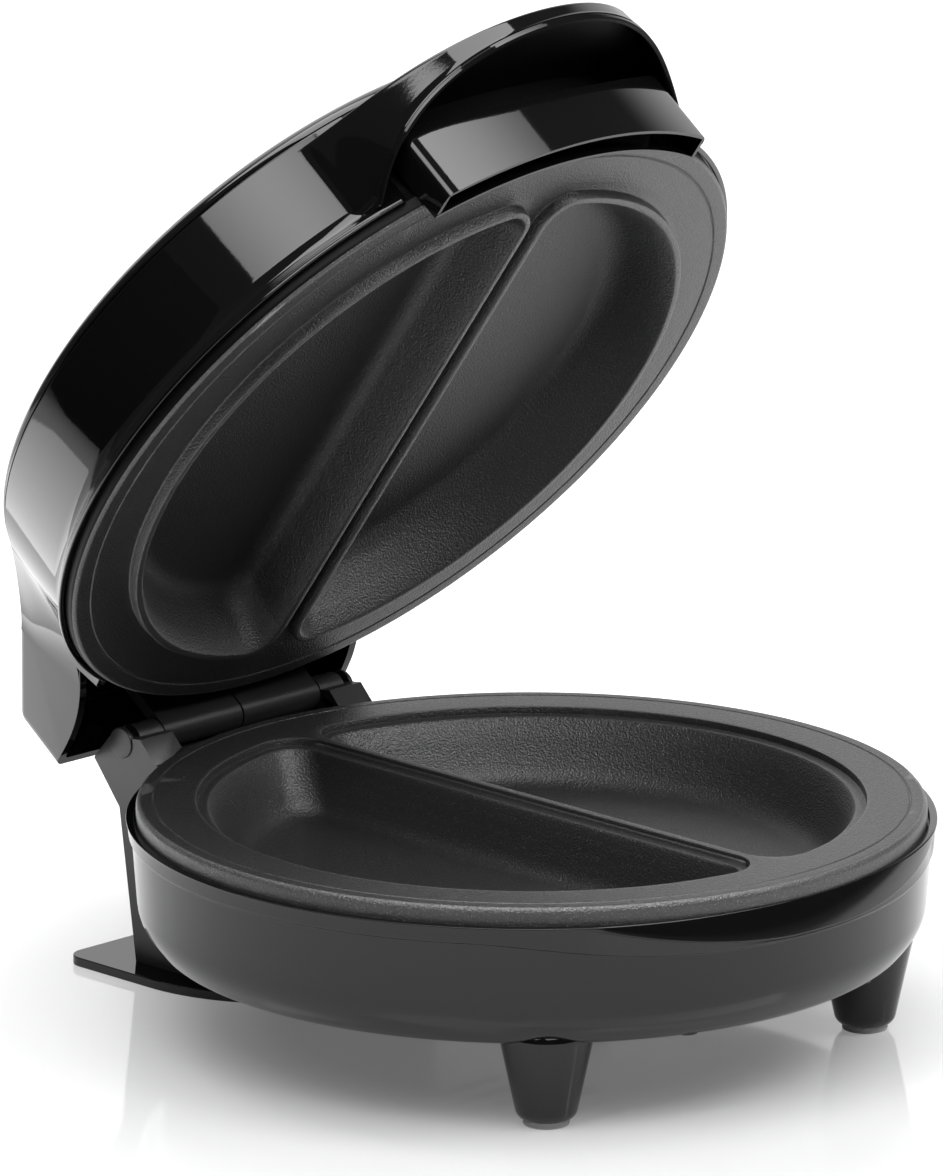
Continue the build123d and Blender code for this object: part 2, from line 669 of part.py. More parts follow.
hood = side_extrusion(hood_outline(0.0, rim_height), hood_half_width)
hood_bottom = rim_height + hood_bottom_height
hood_arch_start = (hood_lower_front, hood_bottom + hood_lower_rise)
hood_cut = Polyline(
    (0, rim_height - 1), (reach, rim_height - 1), (reach, hood_bottom), (hood_rear, hood_bottom))
hood_cut += ThreePointArc(
    (hood_rear, hood_bottom), (hood_arch_middle[0], hood_bottom + hood_arch_middle[1]), hood_arch_start)
hood_cut += Polyline(hood_arch_start, (0, hood_bottom + hood_lower_rise), (0, rim_height - 1))
hood -= side_extrusion(hood_cut, reach)
inner_wall = turned([
    (lid_inner_radius, rim_height), (lid_band_radius, rim_height),
    (lid_band_radius, reach), (lid_inner_radius, reach),
])
hood_shell = hood - side_extrusion(hood_outline(shell_wall, 0), hood_half_width - shell_wall)
hood_shell += hood & inner_wall
hood_shell -= rod_z(lid_inner_radius, 0, parting_height)
lid_housing += hood_shell

# ears that carry the upper plate and the top cover
upper_boss_top = upper_rim_height + upper_boss_height
ear_inner = plate_screw_radius - ear_width / 2
plate_ear = block(ear_inner, lid_band_radius - 1, -ear_width / 2, ear_width / 2,
                  upper_boss_top, upper_boss_top + ear_thickness)
upper_screws = []
for angle in plate_screw_angles:
    x, y = polar(plate_screw_radius, angle)
    lid_housing += Rot(0, 0, angle) * plate_ear
    lid_housing -= screw_hole_z(x, y, upper_boss_top - 1, upper_boss_top + ear_thickness + 1)
    head_top = upper_boss_top + ear_thickness + screw_head_height
    upper_screws.append(screw_down(x, y, head_top, upper_boss_top - screw_bite + 2))
upper_plate_screws = Compound(children=upper_screws)
cover_angles = [cover_boss_angle, 180 - cover_boss_angle, 180 + cover_boss_angle, -cover_boss_angle]
ear_top = rim_height + cover_ear_height
cover_ear = block(cover_boss_radius - ear_width / 2, lid_band_radius - 1, -ear_width / 2, ear_width / 2,
                  ear_top - ear_thickness, ear_top)
for angle in cover_angles:
    x, y = polar(cover_boss_radius, angle)
    lid_housing += Rot(0, 0, angle) * cover_ear
    lid_housing -= screw_hole_z(x, y, ear_top - ear_thickness - 1, ear_top + 1)

# ---- lid top cover ----
dome_bulge = 2.9
dome_crown = 1.9


def dome_body(inset):
    """Domed cap whose side is a superellipse, pulled in by the inset."""
    radius = lid_band_radius - 0.3 - inset
    rise = lid_dome_rise - inset
    curve = []
    for step in range(9):
        turn = radians(90) * step / 8
        r = radius * max(cos(turn), 0.0) ** (2 / dome_bulge)
        z = parting_height + rise * sin(turn) ** (2 / dome_crown)
        curve.append((r if step < 8 else 0.0, z))
    edge = Plane.XZ * (Spline(*curve) + Polyline(curve[-1], (0, parting_height), curve[0]))
    return revolve(make_face(edge), Axis.Z)


lid_top_cover = dome_body(0.0) - dome_body(shell_wall)
locating_ring = turned([
    (lid_inner_radius - seat_clearance - 2, parting_height - 3),
    (lid_inner_radius - seat_clearance, parting_height - 3),
    (lid_inner_radius - seat_clearance, parting_height),
    (lid_inner_radius + 0.6, parting_height), (lid_inner_radius - 1.2, parting_height + 3),
    (lid_inner_radius - seat_clearance - 2, parting_height + 2),
])
lid_top_cover += locating_ring
cover_post_radius = 3.5
solid_dome = dome_body(shell_wall / 2)
cover_screws_list = []
for angle in cover_angles:
    x, y = polar(cover_boss_radius, angle)
    lid_top_cover += rod_z(cover_post_radius, ear_top, parting_height + 0.1, x, y)
    lid_top_cover += rod_z(cover_post_radius, parting_height, reach, x, y) & solid_dome
    lid_top_cover -= screw_hole_z(x, y, ear_top - 1, ear_top + screw_bite)
    cover_screws_list.append(
        screw_up(x, y, ear_top - ear_thickness - screw_head_height, ear_top + screw_bite - 1))
top_cover_screws = Compound(children=cover_screws_list)
hood_notch = hood_half_width + seat_clearance
lid_top_cover -= block(-hood_notch, hood_notch, hood_front - seat_clearance, reach, 0, reach)

# ---- indicator lenses on a small lamp board under the cover ----
board_top = parting_height + 5.0
board_sheet = 1.6
board_half_length = lens_spacing / 2 + 8
board_half_width = 6.0
indicator_lenses = []
lens_top = parting_height + lid_dome_rise + lens_proud - 1.6
for side in (-1, 1):
    x = side * lens_spacing / 2
    indicator_lenses.append(rod_z(lens_diameter / 2, board_top, lens_top, x, -lens_front_distance))
    lid_top_cover -= rod_z(lens_diameter / 2 + seat_clearance, board_top, reach, x, -lens_front_distance)
    post_x = side * (board_half_length - 2.5)
    lid_top_cover += rod_z(2.0, board_top, reach, post_x, -lens_front_distance) & solid_dome
indicator_lenses = Compound(children=indicator_lenses)
indicator_board = block(-board_half_length, board_half_length, -lens_front_distance - board_half_width,
                        -lens_front_distance + board_half_width, board_top - board_sheet, board_top)

# ---- grip block under the visor ----
grip_bottom = rim_height - grip_below_rim
grip_block = turned([
    (grip_inner_radius, grip_bottom), (grip_outer_radius, grip_bottom),
    (grip_outer_radius, rim_height + visor_arch_crown), (grip_inner_radius, rim_height + visor_arch_crown),
])
grip_block &= block(-grip_half_width, grip_half_width, -reach, 0, 0, reach)
grip_roof = Pos(0, -grip_outer_radius, rim_height + grip_top_height) * Rot(grip_top_slope, 0, 0)
grip_block -= grip_roof * block(-reach, reach, -reach, reach, 0, reach)
grip_screw_height = rim_height + 14.0
grip_screws = []
for side in (-1, 1):
    x = side * grip_screw_spacing / 2
    band_y = -sqrt(lid_band_radius ** 2 - (abs(x) - plate_boss_diameter / 2) ** 2)
    grip_y = -sqrt(grip_inner_radius ** 2 - x ** 2)
    grip_block += rod_y(plate_boss_diameter / 2, grip_y - 2, band_y - seat_clearance, x,
                        grip_screw_height)
    seat_y = -sqrt(lid_inner_radius ** 2 - (abs(x) + screw_head_diameter / 2) ** 2) + 0.1
    tip_y = grip_y - 4.5
    grip_block -= rod_y(screw_diameter / 2 + hole_clearance, tip_y - 0.5, band_y + 1, x,
                        grip_screw_height)
    lid_housing -= rod_y(screw_diameter / 2 + hole_clearance, band_y - 3, seat_y + 8, x,
                         grip_screw_height)
    head = rod_y(screw_head_diameter / 2, seat_y, seat_y + screw_head_height, x, grip_screw_height)
    grip_screws.append(head + rod_y(screw_diameter / 2, tip_y, seat_y, x, grip_screw_height))
grip_screws = Compound(children=grip_screws)

# ---- hinge bracket: two knuckles on a plate that is screwed to the back of the band ----
bracket_front = hinge_behind_axis - knuckle_diameter / 2
bracket_top = rim_height + bracket_height
knuckle_half = knuckle_span / 2
bracket = rod_x(knuckle_diameter / 2, -knuckle_half, knuckle_half, hinge_behind_axis, hinge_height)
bracket += block(-knuckle_half, knuckle_half, bracket_front, bracket_front + bracket_plate,
                 hinge_height, bracket_top)
pad_bottom = lid_flare_top + 1.0
pad = block(-knuckle_half, knuckle_half, lid_band_radius - 12, bracket_front + 0.5, pad_bottom, bracket_top)
pad -= rod_z(lid_band_radius + seat_clearance, 0, reach)
bracket += pad
bracket -= rod_x(pin_radius + pin_clearance, -reach, reach, hinge_behind_axis, hinge_height)
seam_width = 0.6
bracket -= block(-seam_width / 2, seam_width / 2, 0, reach, 0,
                 hinge_height + knuckle_diameter / 2 + 2.0)
bracket_screw_height = (pad_bottom + bracket_top) / 2
bracket_screws = []
for side in (-1, 1):
    x = side * bracket_screw_spacing / 2
    head_front = bracket_front + bracket_plate
    tip = sqrt(lid_inner_radius ** 2 - x ** 2) - 3
    bracket -= rod_y(screw_diameter / 2 + hole_clearance, 0, reach, x, bracket_screw_height)
    lid_housing -= rod_y(screw_diameter / 2 + hole_clearance, tip - 2, head_front, x,
                         bracket_screw_height)
    head = rod_y(screw_head_diameter / 2, head_front, head_front + screw_head_height, x,
                 bracket_screw_height)
    bracket_screws.append(head + rod_y(screw_diameter / 2, tip, head_front, x, bracket_screw_height))
bracket_screws = Compound(children=bracket_screws)

# ---- lead through the lid to the upper element ----
lid_lead_height = (upper_pan_top + reflector_drop + reflector_sheet + lead_diameter / 2
                   + seat_clearance)
lid_leads = Compound(children=[
    rod_y(lead_diameter / 2, y + terminal_pin_diameter / 2 + element_clearance,
          sqrt(lid_inner_radius ** 2 - (abs(x) + lead_diameter / 2) ** 2) - 0.3, x,
          lid_lead_height)
    for x, y in element_pins()
])

# ---- gather the two bodies, open the lid and set the origin under the middle of the whole ----
base_body = {
    "base_shell": base_shell,
    "base_bottom_cover": bottom_cover,
    "bottom_cover_screws": bottom_cover_screws,
    "front_feet": Compound(children=front_feet),
    "foot_pads": Compound(children=foot_pads),
    "rear_stand": rear_stand,
    "stand_screws": stand_screws,
    "rear_sole_plate": rear_sole,
    "sole_plate_screws": sole_screws,
    "cord_inlet_ring": cord_inlet,
    "hinge_pin": hinge_pin,
    "lower_cooking_plate": lower_cooking_plate,
    "lower_plate_screws": lower_plate_screws,
    "lower_heating_element": lower_element,
    "lower_heat_reflector": lower_reflector,
    "lower_reflector_screw": lower_reflector_screw,
    "thermostat": thermostat,
    "thermal_fuse": thermal_fuse,
    "terminal_block": terminal_block,
    "base_leads": base_leads,
}
lid_body = {
    "lid_housing": lid_housing,
    "lid_top_cover": lid_top_cover,
    "top_cover_screws": top_cover_screws,
    "indicator_lenses": indicator_lenses,
    "indicator_board": indicator_board,
    "grip_block": grip_block,
    "grip_screws": grip_screws,
    "hinge_bracket": bracket,
    "hinge_bracket_screws": bracket_screws,
    "upper_cooking_plate": upper_cooking_plate,
    "upper_plate_screws": upper_plate_screws,
    "upper_heating_element": upper_element,
    "upper_heat_reflector": upper_reflector,
    "upper_reflector_screw": upper_reflector_screw,
    "lid_leads": lid_leads,
}
assembly = dict(base_body)
for name, piece in lid_body.items():
    assembly[name] = piece.rotate(hinge_axis, -lid_open_angle)

whole = Compound(children=[Compound(piece.wrapped) for piece in assembly.values()]).bounding_box()
shift = Pos(-whole.center().X, -whole.center().Y, -whole.min.Z)
for name, piece in assembly.items():
    export_step(shift * piece, os.path.join("parts", name + ".step"))

hinge_y = hinge_behind_axis - whole.center().Y
print("hinge at", round(-whole.center().X, 3), round(hinge_y, 3), round(hinge_height - whole.min.Z, 3))
print("whole", whole.size)
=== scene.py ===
# %% [markdown]
# # Electric omelette maker
# This cooker is a round clamshell. A black base stands on two feet and a rear stand, and a domed lid
# with a visor and a grip swings up on a hinge. Each half holds a cast plate with two half-moon pans.
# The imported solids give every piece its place, and the cells below build the visible skin round them.

# %% Load the frame
from math import atan2, cos, pi, radians, sin, sqrt, tan

import bmesh
import bpy
from mathutils import Matrix, Vector


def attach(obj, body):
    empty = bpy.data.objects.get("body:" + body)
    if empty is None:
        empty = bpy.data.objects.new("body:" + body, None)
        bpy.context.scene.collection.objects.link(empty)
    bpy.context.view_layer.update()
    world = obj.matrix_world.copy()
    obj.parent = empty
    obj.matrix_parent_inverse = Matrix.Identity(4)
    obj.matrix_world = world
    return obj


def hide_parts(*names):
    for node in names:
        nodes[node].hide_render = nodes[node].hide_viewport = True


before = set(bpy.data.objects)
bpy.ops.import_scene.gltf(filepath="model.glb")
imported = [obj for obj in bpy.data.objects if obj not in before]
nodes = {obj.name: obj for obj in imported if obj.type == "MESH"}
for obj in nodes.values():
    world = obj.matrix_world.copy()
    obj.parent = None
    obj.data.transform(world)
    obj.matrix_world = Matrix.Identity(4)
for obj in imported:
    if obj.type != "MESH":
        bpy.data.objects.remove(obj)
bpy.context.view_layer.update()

# %% [markdown]
# The shapes are easiest to draw in millimetres, with the Z axis through the middle of the plates and
# the lid shut. One matrix then brings base pieces to the frame, and a second also swings lid pieces
# open about the hinge, so no piece has to be drawn on a slant. The hinge lies in the plane of the
# lower plate's rim, and many heights below are given from that plane.

# %% Two places to build in
mm = 0.001
plate_axis_shift = -16.676
rim = 57.6
hinge_point = Vector((0, 105.1, rim))
lid_opening = radians(-53.7)
to_frame = Matrix.Scale(mm, 4) @ Matrix.Translation((0, plate_axis_shift, 0))
swing = (Matrix.Translation(hinge_point) @ Matrix.Rotation(lid_opening, 4, "X")
         @ Matrix.Translation(-hinge_point))
places = {"base": to_frame, "lid": to_frame @ swing}
print("hinge in the frame:", [round(v, 4) for v in to_frame @ hinge_point])

# %% [markdown]
# The finishes, the floor and the world are all node graphs, and the same few nodes come back in each.
# So they get helpers that add a node, link it and hand back its output.

# %% Helpers for shader graphs
def computed(tree, operation, first, second):
    """Result of a Math node; each input is an output socket or a number."""
    node = tree.nodes.new("ShaderNodeMath")
    node.operation = operation
    for socket, value in zip(node.inputs, (first, second)):
        if isinstance(value, float):
            socket.default_value = value
        else:
            tree.links.new(value, socket)
    return node.outputs["Value"]


def ranged(tree, value, to_min, to_max, from_min=0.0, from_max=1.0, curve="LINEAR"):
    """A value carried from one range to another."""
    node = tree.nodes.new("ShaderNodeMapRange")
    node.interpolation_type = curve
    node.inputs["From Min"].default_value = from_min
    node.inputs["From Max"].default_value = from_max
    node.inputs["To Min"].default_value = to_min
    node.inputs["To Max"].default_value = to_max
    tree.links.new(value, node.inputs["Value"])
    return node.outputs["Result"]


def noise(tree, place, scale, detail):
    """Value of a noise in the object's own coordinates."""
    node = tree.nodes.new("ShaderNodeTexNoise")
    node.inputs["Scale"].default_value = scale
    node.inputs["Detail"].default_value = detail
    tree.links.new(place.outputs["Object"], node.inputs["Vector"])
    return node.outputs["Fac"]


def blended(tree, share, first, second):
    """Colour between two colours, each a tuple or an output socket."""
    node = tree.nodes.new("ShaderNodeMix")
    node.data_type = "RGBA"
    for socket, colour in ((node.inputs["A"], first), (node.inputs["B"], second)):
        if isinstance(colour, tuple):
            socket.default_value = (*colour, 1)
        else:
            tree.links.new(colour, socket)
    tree.links.new(share, node.inputs["Factor"])
    return node.outputs["Result"]


def measured(tree, operation, place, other):
    """Distance or dot product of a linked vector and a fixed one."""
    node = tree.nodes.new("ShaderNodeVectorMath")
    node.operation = operation
    node.inputs[1].default_value = other
    tree.links.new(place, node.inputs[0])
    return node.outputs["Value"]


def ramped(tree, value, stops, curve):
    """Grey level at a value, from three (position, level) stops."""
    node = tree.nodes.new("ShaderNodeValToRGB")
    ramp = node.color_ramp
    ramp.interpolation = curve
    ramp.elements.new(0.5)
    for element, (position, level) in zip(ramp.elements, stops):
        element.position = position
        element.color = (level, level, level, 1)
    tree.links.new(value, node.inputs["Fac"])
    return node.outputs["Color"]


def add_bump(tree, shader, height, depth):
    """Bump of a given depth in metres on the shader's normal."""
    bump = tree.nodes.new("ShaderNodeBump")
    bump.inputs["Distance"].default_value = depth
    tree.links.new(height, bump.inputs["Height"])
    tree.links.new(bump.outputs["Normal"], shader.inputs["Normal"])


def graph_of(name):
    """New material with its node tree and its shader."""
    material = bpy.data.materials.new(name)
    material.use_nodes = True
    tree = material.node_tree
    return material, tree, tree.nodes["Principled BSDF"]


print("node helpers: computed, ranged, noise, blended, measured, ramped, add_bump")

# %% [markdown]
# Moulded plastic is rarely flat black. Light breaks up on its slow waviness and its fine surface
# grain, so each finish gets two noises: a wide one that varies the gloss, and a fine one for the
# bump. The colour moves a little with the wide noise. One helper makes all the plastics and metals.

# %% A helper for finishes
def finish(name, colour, roughness, spread=0.03, wave=60.0, grain=1500.0, depth=0.00001,
           metal=0.0, lift=1.25, ior=1.5):
    """Principled finish whose gloss and colour follow a slow noise and whose bump is a fine one."""
    material, tree, shader = graph_of(name)
    shader.inputs["Metallic"].default_value = metal
    shader.inputs["IOR"].default_value = ior
    place = tree.nodes.new("ShaderNodeTexCoord")
    slow = noise(tree, place, wave, 3.0)
    gloss = ranged(tree, slow, max(roughness - spread, 0.01), roughness + spread)
    tree.links.new(gloss, shader.inputs["Roughness"])
    lifted = tuple(min(c * lift, 1.0) for c in colour)
    tree.links.new(blended(tree, slow, colour, lifted), shader.inputs["Base Color"])
    add_bump(tree, shader, noise(tree, place, grain, 4.0), depth)
    print("finish:", name)
    return material


# %% Plastics and metals
gloss_black = finish("gloss_black_moulding", (0.0034, 0.0034, 0.0036), 0.045, 0.02, 45, 1200, 0.000003)
base_black = finish("base_black_moulding", (0.003, 0.003, 0.0032), 0.1, 0.03, 45, 1800, 0.000006)
satin_black = finish("satin_black_moulding", (0.018, 0.018, 0.019), 0.34, 0.05, 80, 2600, 0.00003)
# A rough black that hardly reflects: painted shade for the recesses inside the visor and the hood and
# for the upper plate's shaded side.
painted_shade_black = finish("painted_shade_black_moulding", (0.003, 0.003, 0.003), 0.45, 0.05, 80, 2600, 0.00002, ior=1.2)
pale_rubber = finish("pad_rubber", (0.7, 0.7, 0.69), 0.5, 0.08, 200, 3000, 0.00004, lift=1.1)
plain_steel = finish("plain_steel", (0.55, 0.55, 0.56), 0.3, 0.08, 400, 2200, 0.00001, metal=1.0)
bright_sheet = finish("bright_sheet", (0.78, 0.78, 0.79), 0.22, 0.06, 90, 900, 0.00002, metal=1.0)
pale_moulding = finish("pale_moulding", (0.7, 0.67, 0.6), 0.5, 0.06, 150, 2000, 0.00003)
lead_sleeve = finish("lead_sleeve", (0.62, 0.62, 0.6), 0.6, 0.06, 300, 2600, 0.00003)
lamp_board = finish("lamp_board", (0.02, 0.11, 0.045), 0.4, 0.06, 300, 2000, 0.00001)
red_lens = finish("lamp_lens", (0.42, 0.02, 0.012), 0.08, 0.02, 300, 2000, 0.000002)

# %% [markdown]
# The plates carry a sprayed non-stick coating: a dark grey film full of paler specks a few tenths of
# a millimetre wide, a little pebbly to the touch. Rounded edges get a lighter colour, a painted
# highlight where they catch the light. Cells of a Voronoi texture give the specks, a fine noise the
# pebbles, and the pointiness of the mesh finds the edges.

# %% The non-stick coating
speck_scale, speck_core, speck_edge = 1700.0, 0.12, 0.3
pebble_scale, pebble_depth = 1900.0, 0.00026
# The edge values set the painted highlight on rounded edges: where it starts, how far it goes and how
# light it is.
edge_from, edge_full, edge_share, edge_lift = 0.512, 0.57, 0.7, 6.0


def coating(name, dark, speck, roughness):
    """Speckled film with a painted highlight: a lighter colour along rounded edges."""
    material, tree, shader = graph_of(name)
    shader.inputs["Specular IOR Level"].default_value = 0.85
    place = tree.nodes.new("ShaderNodeTexCoord")
    cells = tree.nodes.new("ShaderNodeTexVoronoi")
    cells.inputs["Scale"].default_value = speck_scale
    tree.links.new(place.outputs["Object"], cells.inputs["Vector"])
    spot = ranged(tree, cells.outputs["Distance"], 1.0, 0.0, speck_core, speck_edge)
    choose = tree.nodes.new("ShaderNodeSeparateColor")
    tree.links.new(cells.outputs["Color"], choose.inputs["Color"])
    some = computed(tree, "MULTIPLY", spot, choose.outputs["Red"])
    tint = blended(tree, some, dark, speck)
    shape = tree.nodes.new("ShaderNodeNewGeometry")
    # Painted highlight: the coating turns lighter where the mesh is pointy, on rounded edges.
    edge = ranged(tree, shape.outputs["Pointiness"], 0.0, edge_share, edge_from, edge_full)
    painted_edge_highlight = blended(tree, edge, tint, tuple(edge_lift * c for c in dark))
    tree.links.new(painted_edge_highlight, shader.inputs["Base Color"])
    pebbles = noise(tree, place, pebble_scale, 2.0)
    tree.links.new(ranged(tree, pebbles, roughness - 0.08, roughness + 0.12), shader.inputs["Roughness"])
    add_bump(tree, shader, pebbles, pebble_depth)
    print("finish:", name)
    return material


non_stick = coating("non_stick_coating", (0.02, 0.02, 0.0203), (0.15, 0.15, 0.15), 0.38)
# A lighter copy of the coating: a painted highlight on the plates' rolled outer edges and on the lower
# plate's skirt.
edge_highlight_coating = coating("non_stick_edge_highlight", (0.06, 0.06, 0.061), (0.3, 0.3, 0.3), 0.36)

# %% [markdown]
# Nearly every moulding here is a ring or a strip: a closed section carried along a path. So one
# helper joins rows of points into a skin, and another rounds the corners of a section, because no
# moulded edge is sharp and the rounding is what catches the light.

# %% Helpers for meshes
weld_reach, sliver, plain_crease = 0.000004, 0.000001, 30.0


def linked(name, data):
    """New object of this data in the scene."""
    thing = bpy.data.objects.new(name, data)
    bpy.context.scene.collection.objects.link(thing)
    return thing


def add_piece(name, points, faces, body, material, slot_name, *replaced, crease=plain_crease):
    """Mesh piece from points in millimetres, put in its place, with smooth faces and crisp creases."""
    mesh = bpy.data.meshes.new(name)
    mesh.from_pydata([tuple(places[body] @ Vector(p)) for p in points], [], faces)
    work = bmesh.new()
    work.from_mesh(mesh)
    bmesh.ops.remove_doubles(work, verts=work.verts, dist=weld_reach)
    bmesh.ops.dissolve_degenerate(work, edges=work.edges, dist=sliver)
    bmesh.ops.recalc_face_normals(work, faces=work.faces)
    work.to_mesh(mesh)
    work.free()
    piece = linked(name, mesh)
    mesh.materials.append(material)
    settle(piece, crease)
    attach(piece, body)
    if replaced:
        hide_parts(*replaced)
    print(name, "faces:", len(mesh.polygons))
    return piece


def settle(piece, crease):
    """Smooth shading that keeps the edges sharper than the crease angle."""
    piece.data.polygons.foreach_set("use_smooth", [True] * len(piece.data.polygons))
    piece.data.set_sharp_from_angle(angle=radians(crease))


def skin(rows, wrap_rows=True, wrap_section=True, caps=False):
    """Points and faces of a skin over rows of points that all have the same count."""
    count = len(rows[0])
    points = [p for row in rows for p in row]
    faces = []
    for i in range(len(rows) if wrap_rows else len(rows) - 1):
        j = (i + 1) % len(rows)
        for k in range(count if wrap_section else count - 1):
            m = (k + 1) % count
            faces.append((i * count + k, i * count + m, j * count + m, j * count + k))
    if caps:
        faces.append(tuple(range(count)))
        faces.append(tuple(range((len(rows) - 1) * count, len(rows) * count)))
    return points, faces


def joined(skins):
    """Points and faces of several skins as one."""
    points, faces = [], []
    for more, joins in skins:
        faces += [tuple(k + len(points) for k in face) for face in joins]
        points += more
    return points, faces


def paint(piece, body, material, chosen):
    """Gives a further material to the faces chosen by centre and facing, both in drawing axes."""
    piece.data.materials.append(material)
    drawing = places[body].inverted()
    for face in piece.data.polygons:
        facing = (drawing.to_3x3() @ face.normal).normalized()
        if chosen(drawing @ face.center, facing):
            face.material_index = len(piece.data.materials) - 1


def rounded(corners, steps=5, closed=True):
    """Section through (a, b, radius) corners with each corner turned into an arc."""
    out = []
    count = len(corners)
    for k, (a, b, radius) in enumerate(corners):
        here = Vector((a, b))
        if radius <= 0 or (not closed and k in (0, count - 1)):
            out.append((a, b))
            continue
        before = Vector(corners[k - 1][:2]) - here
        after = Vector(corners[(k + 1) % count][:2]) - here
        reach = min(radius, before.length * 0.49, after.length * 0.49)
        start, end = here + before.normalized() * reach, here + after.normalized() * reach
        for step in range(steps + 1):
            t = step / steps
            point = start * (1 - t) ** 2 + here * 2 * t * (1 - t) + end * t ** 2
            out.append((point.x, point.y))
    return out


def turn(section_at, segments):
    """Rows of points round the plate axis; section_at gives the (radius, height) section at an angle."""
    rows = []
    for i in range(segments):
        angle = 2 * pi * i / segments
        rows.append([(r * sin(angle), -r * cos(angle), z) for r, z in section_at(angle)])
    return rows


def smooth(value, low, high):
    """0 below low, 1 above high, and an S-curve between."""
    t = min(max((value - low) / (high - low), 0.0), 1.0)
    return t * t * (3 - 2 * t)


# %% [markdown]
# ## The base
# The base is a shallow round tub. Its flange stands round the lower plate with a narrow gap, and a
# step line runs round under the flange. At the front the step dips and a glossy crescent stands out
# above it, like a lower lip. A turned ring is the natural way, but the section has to change with
# the angle, so the section is a function: it works out where the step and the lip are at each angle.

# %% Base tub
flange_top = rim - 4.4
flange_outer, flange_inner, tub_segments = 98.7, 96.6, 320
step_side, step_front_drop = rim - 8.4, 4.8
lip_radius, lip_low, lip_slope, lip_lean = 98.5, rim - 12.8, 0.393, 0.235


def base_section(angle):
    """Closed section of the tub wall at an angle from the front."""
    forward = lip_radius * cos(angle)
    step = step_side - step_front_drop * smooth(forward, 58, 98)
    lip = min(lip_low + lip_slope * (lip_radius - forward), flange_top - 0.7)
    stands = smooth(flange_top - 0.7 - lip, 0.0, 0.5)
    lean = lip_lean * (flange_top - lip) * stands
    under_lip = lip_radius - 0.1 - 0.65 * stands
    bevel = 98.0 - 0.1 * stands
    low = max(lip - 0.25 * stands, step + 0.3)
    return rounded([
        (flange_inner, flange_top, 0.3), (flange_outer - lean, flange_top, 0.45),
        (lip_radius + 0.02, max(lip, step + 0.6), 0.3), (under_lip, low, 0.2),
        (bevel, step, 0.35), (97.25, step - 0.5, 0.25), (95.8, 29.0, 7.0), (91.6, 23.3, 3.0),
        (89.0, 21.9, 1.2), (68.2, 21.9, 0.2), (68.2, 23.0, 0.1), (60.0, 23.0, 0.1), (60.0, 24.1, 0.2),
        (89.0, 24.1, 1.0), (93.6, 29.0, 3.0), (95.0, 48.0, 1.0), (92.6, 50.4, 0.5),
        (92.6, 51.6, 0.2), (flange_inner, 51.6, 0.2),
    ], steps=4)


add_piece("base_tub", *skin(turn(base_section, tub_segments)), "base", base_black, "gloss_shell",
          "base_shell")

# %% [markdown]
# ## The feet
# Two short tapered feet carry the front. Each is a turned cone with a soft shoulder at the tip and a
# rubber pad let into it, so the same profile serves both.

# %% Front feet and pads
foot_across, foot_forward, foot_segments = 55.0, -60.0, 64
foot_section = rounded([
    (0, 27.5, 0), (8.5, 27.0, 2.0), (11.8, 23.4, 3.0), (11.1, 20.4, 2.5), (7.4, 2.9, 1.2),
    (6.3, 1.6, 0.7), (0, 1.6, 0)],
    steps=6, closed=False)
pad_section = rounded([(0, 1.9, 0), (5.6, 1.9, 0.1), (5.6, 0.0, 0.5), (0, 0.0, 0)],
                      steps=4, closed=False)


def turned_foot(section, side):
    """Skin of a turned section at one foot."""
    x, y = side * foot_across, foot_forward
    turns = [2 * pi * i / foot_segments for i in range(foot_segments)]
    return skin([[(x + r * cos(a), y + r * sin(a), z) for r, z in section] for a in turns], True, False)


def turned_pair(name, section, material, slot_name, node):
    """One piece made of the same turned shape at both feet."""
    points, faces = joined(turned_foot(section, side) for side in (-1, 1))
    add_piece(name, points, faces, "base", material, slot_name, node)


turned_pair("foot_pair", foot_section, base_black, "gloss_shell", "front_feet")
turned_pair("foot_pad_pair", pad_section, pale_rubber, "pad_rubber", "foot_pads")

# %% [markdown]
# ## The cooking plates
# Each plate is one casting with two half-moon pans. The pans' walls lean, the walls meet the floor
# in a wide fillet, and the mouth of each pan has a soft edge. On the upper plate a collar runs round
# each pan, and on the lower plate each pan has a ledge that takes the collar when the lid is shut.
# Loops of points that all follow the half-moon outline make this easy: every loop is a half-moon of
# its own size, and the skin between the loops is the casting.

# %% Half-moon loops
mouth_radius, mouth_inset, corner = 78.4, 4.1, 7.0
straight_steps, corner_steps, arc_steps = 40, 10, 96


def half_moon(grow, height, radius=mouth_radius, inset=mouth_inset, bend=corner):
    """Loop round one pan at a distance outside its outline; the pan lies on the +X side."""
    radius, inset, bend = radius + grow, inset - grow, max(bend + grow, 1.0)
    across = inset + bend
    along = sqrt((radius - bend) ** 2 - across ** 2)
    swing_to = atan2(along, across)
    loop = [(inset, along - 2 * along * i / straight_steps) for i in range(straight_steps)]
    for i in range(corner_steps):
        a = pi + (pi - swing_to) * i / corner_steps
        loop.append((across + bend * cos(a), -along + bend * sin(a)))
    for i in range(arc_steps):
        a = -swing_to + 2 * swing_to * i / arc_steps
        loop.append((radius * cos(a), radius * sin(a)))
    for i in range(corner_steps):
        a = swing_to + (pi - swing_to) * i / corner_steps
        loop.append((across + bend * cos(a), along + bend * sin(a)))
    return [(x, y, height) for x, y in loop]


def mixed(first, second, share):
    """Loop part of the way from the first loop to the second."""
    return [tuple(a + (b - a) * share for a, b in zip(p, q)) for p, q in zip(first, second)]


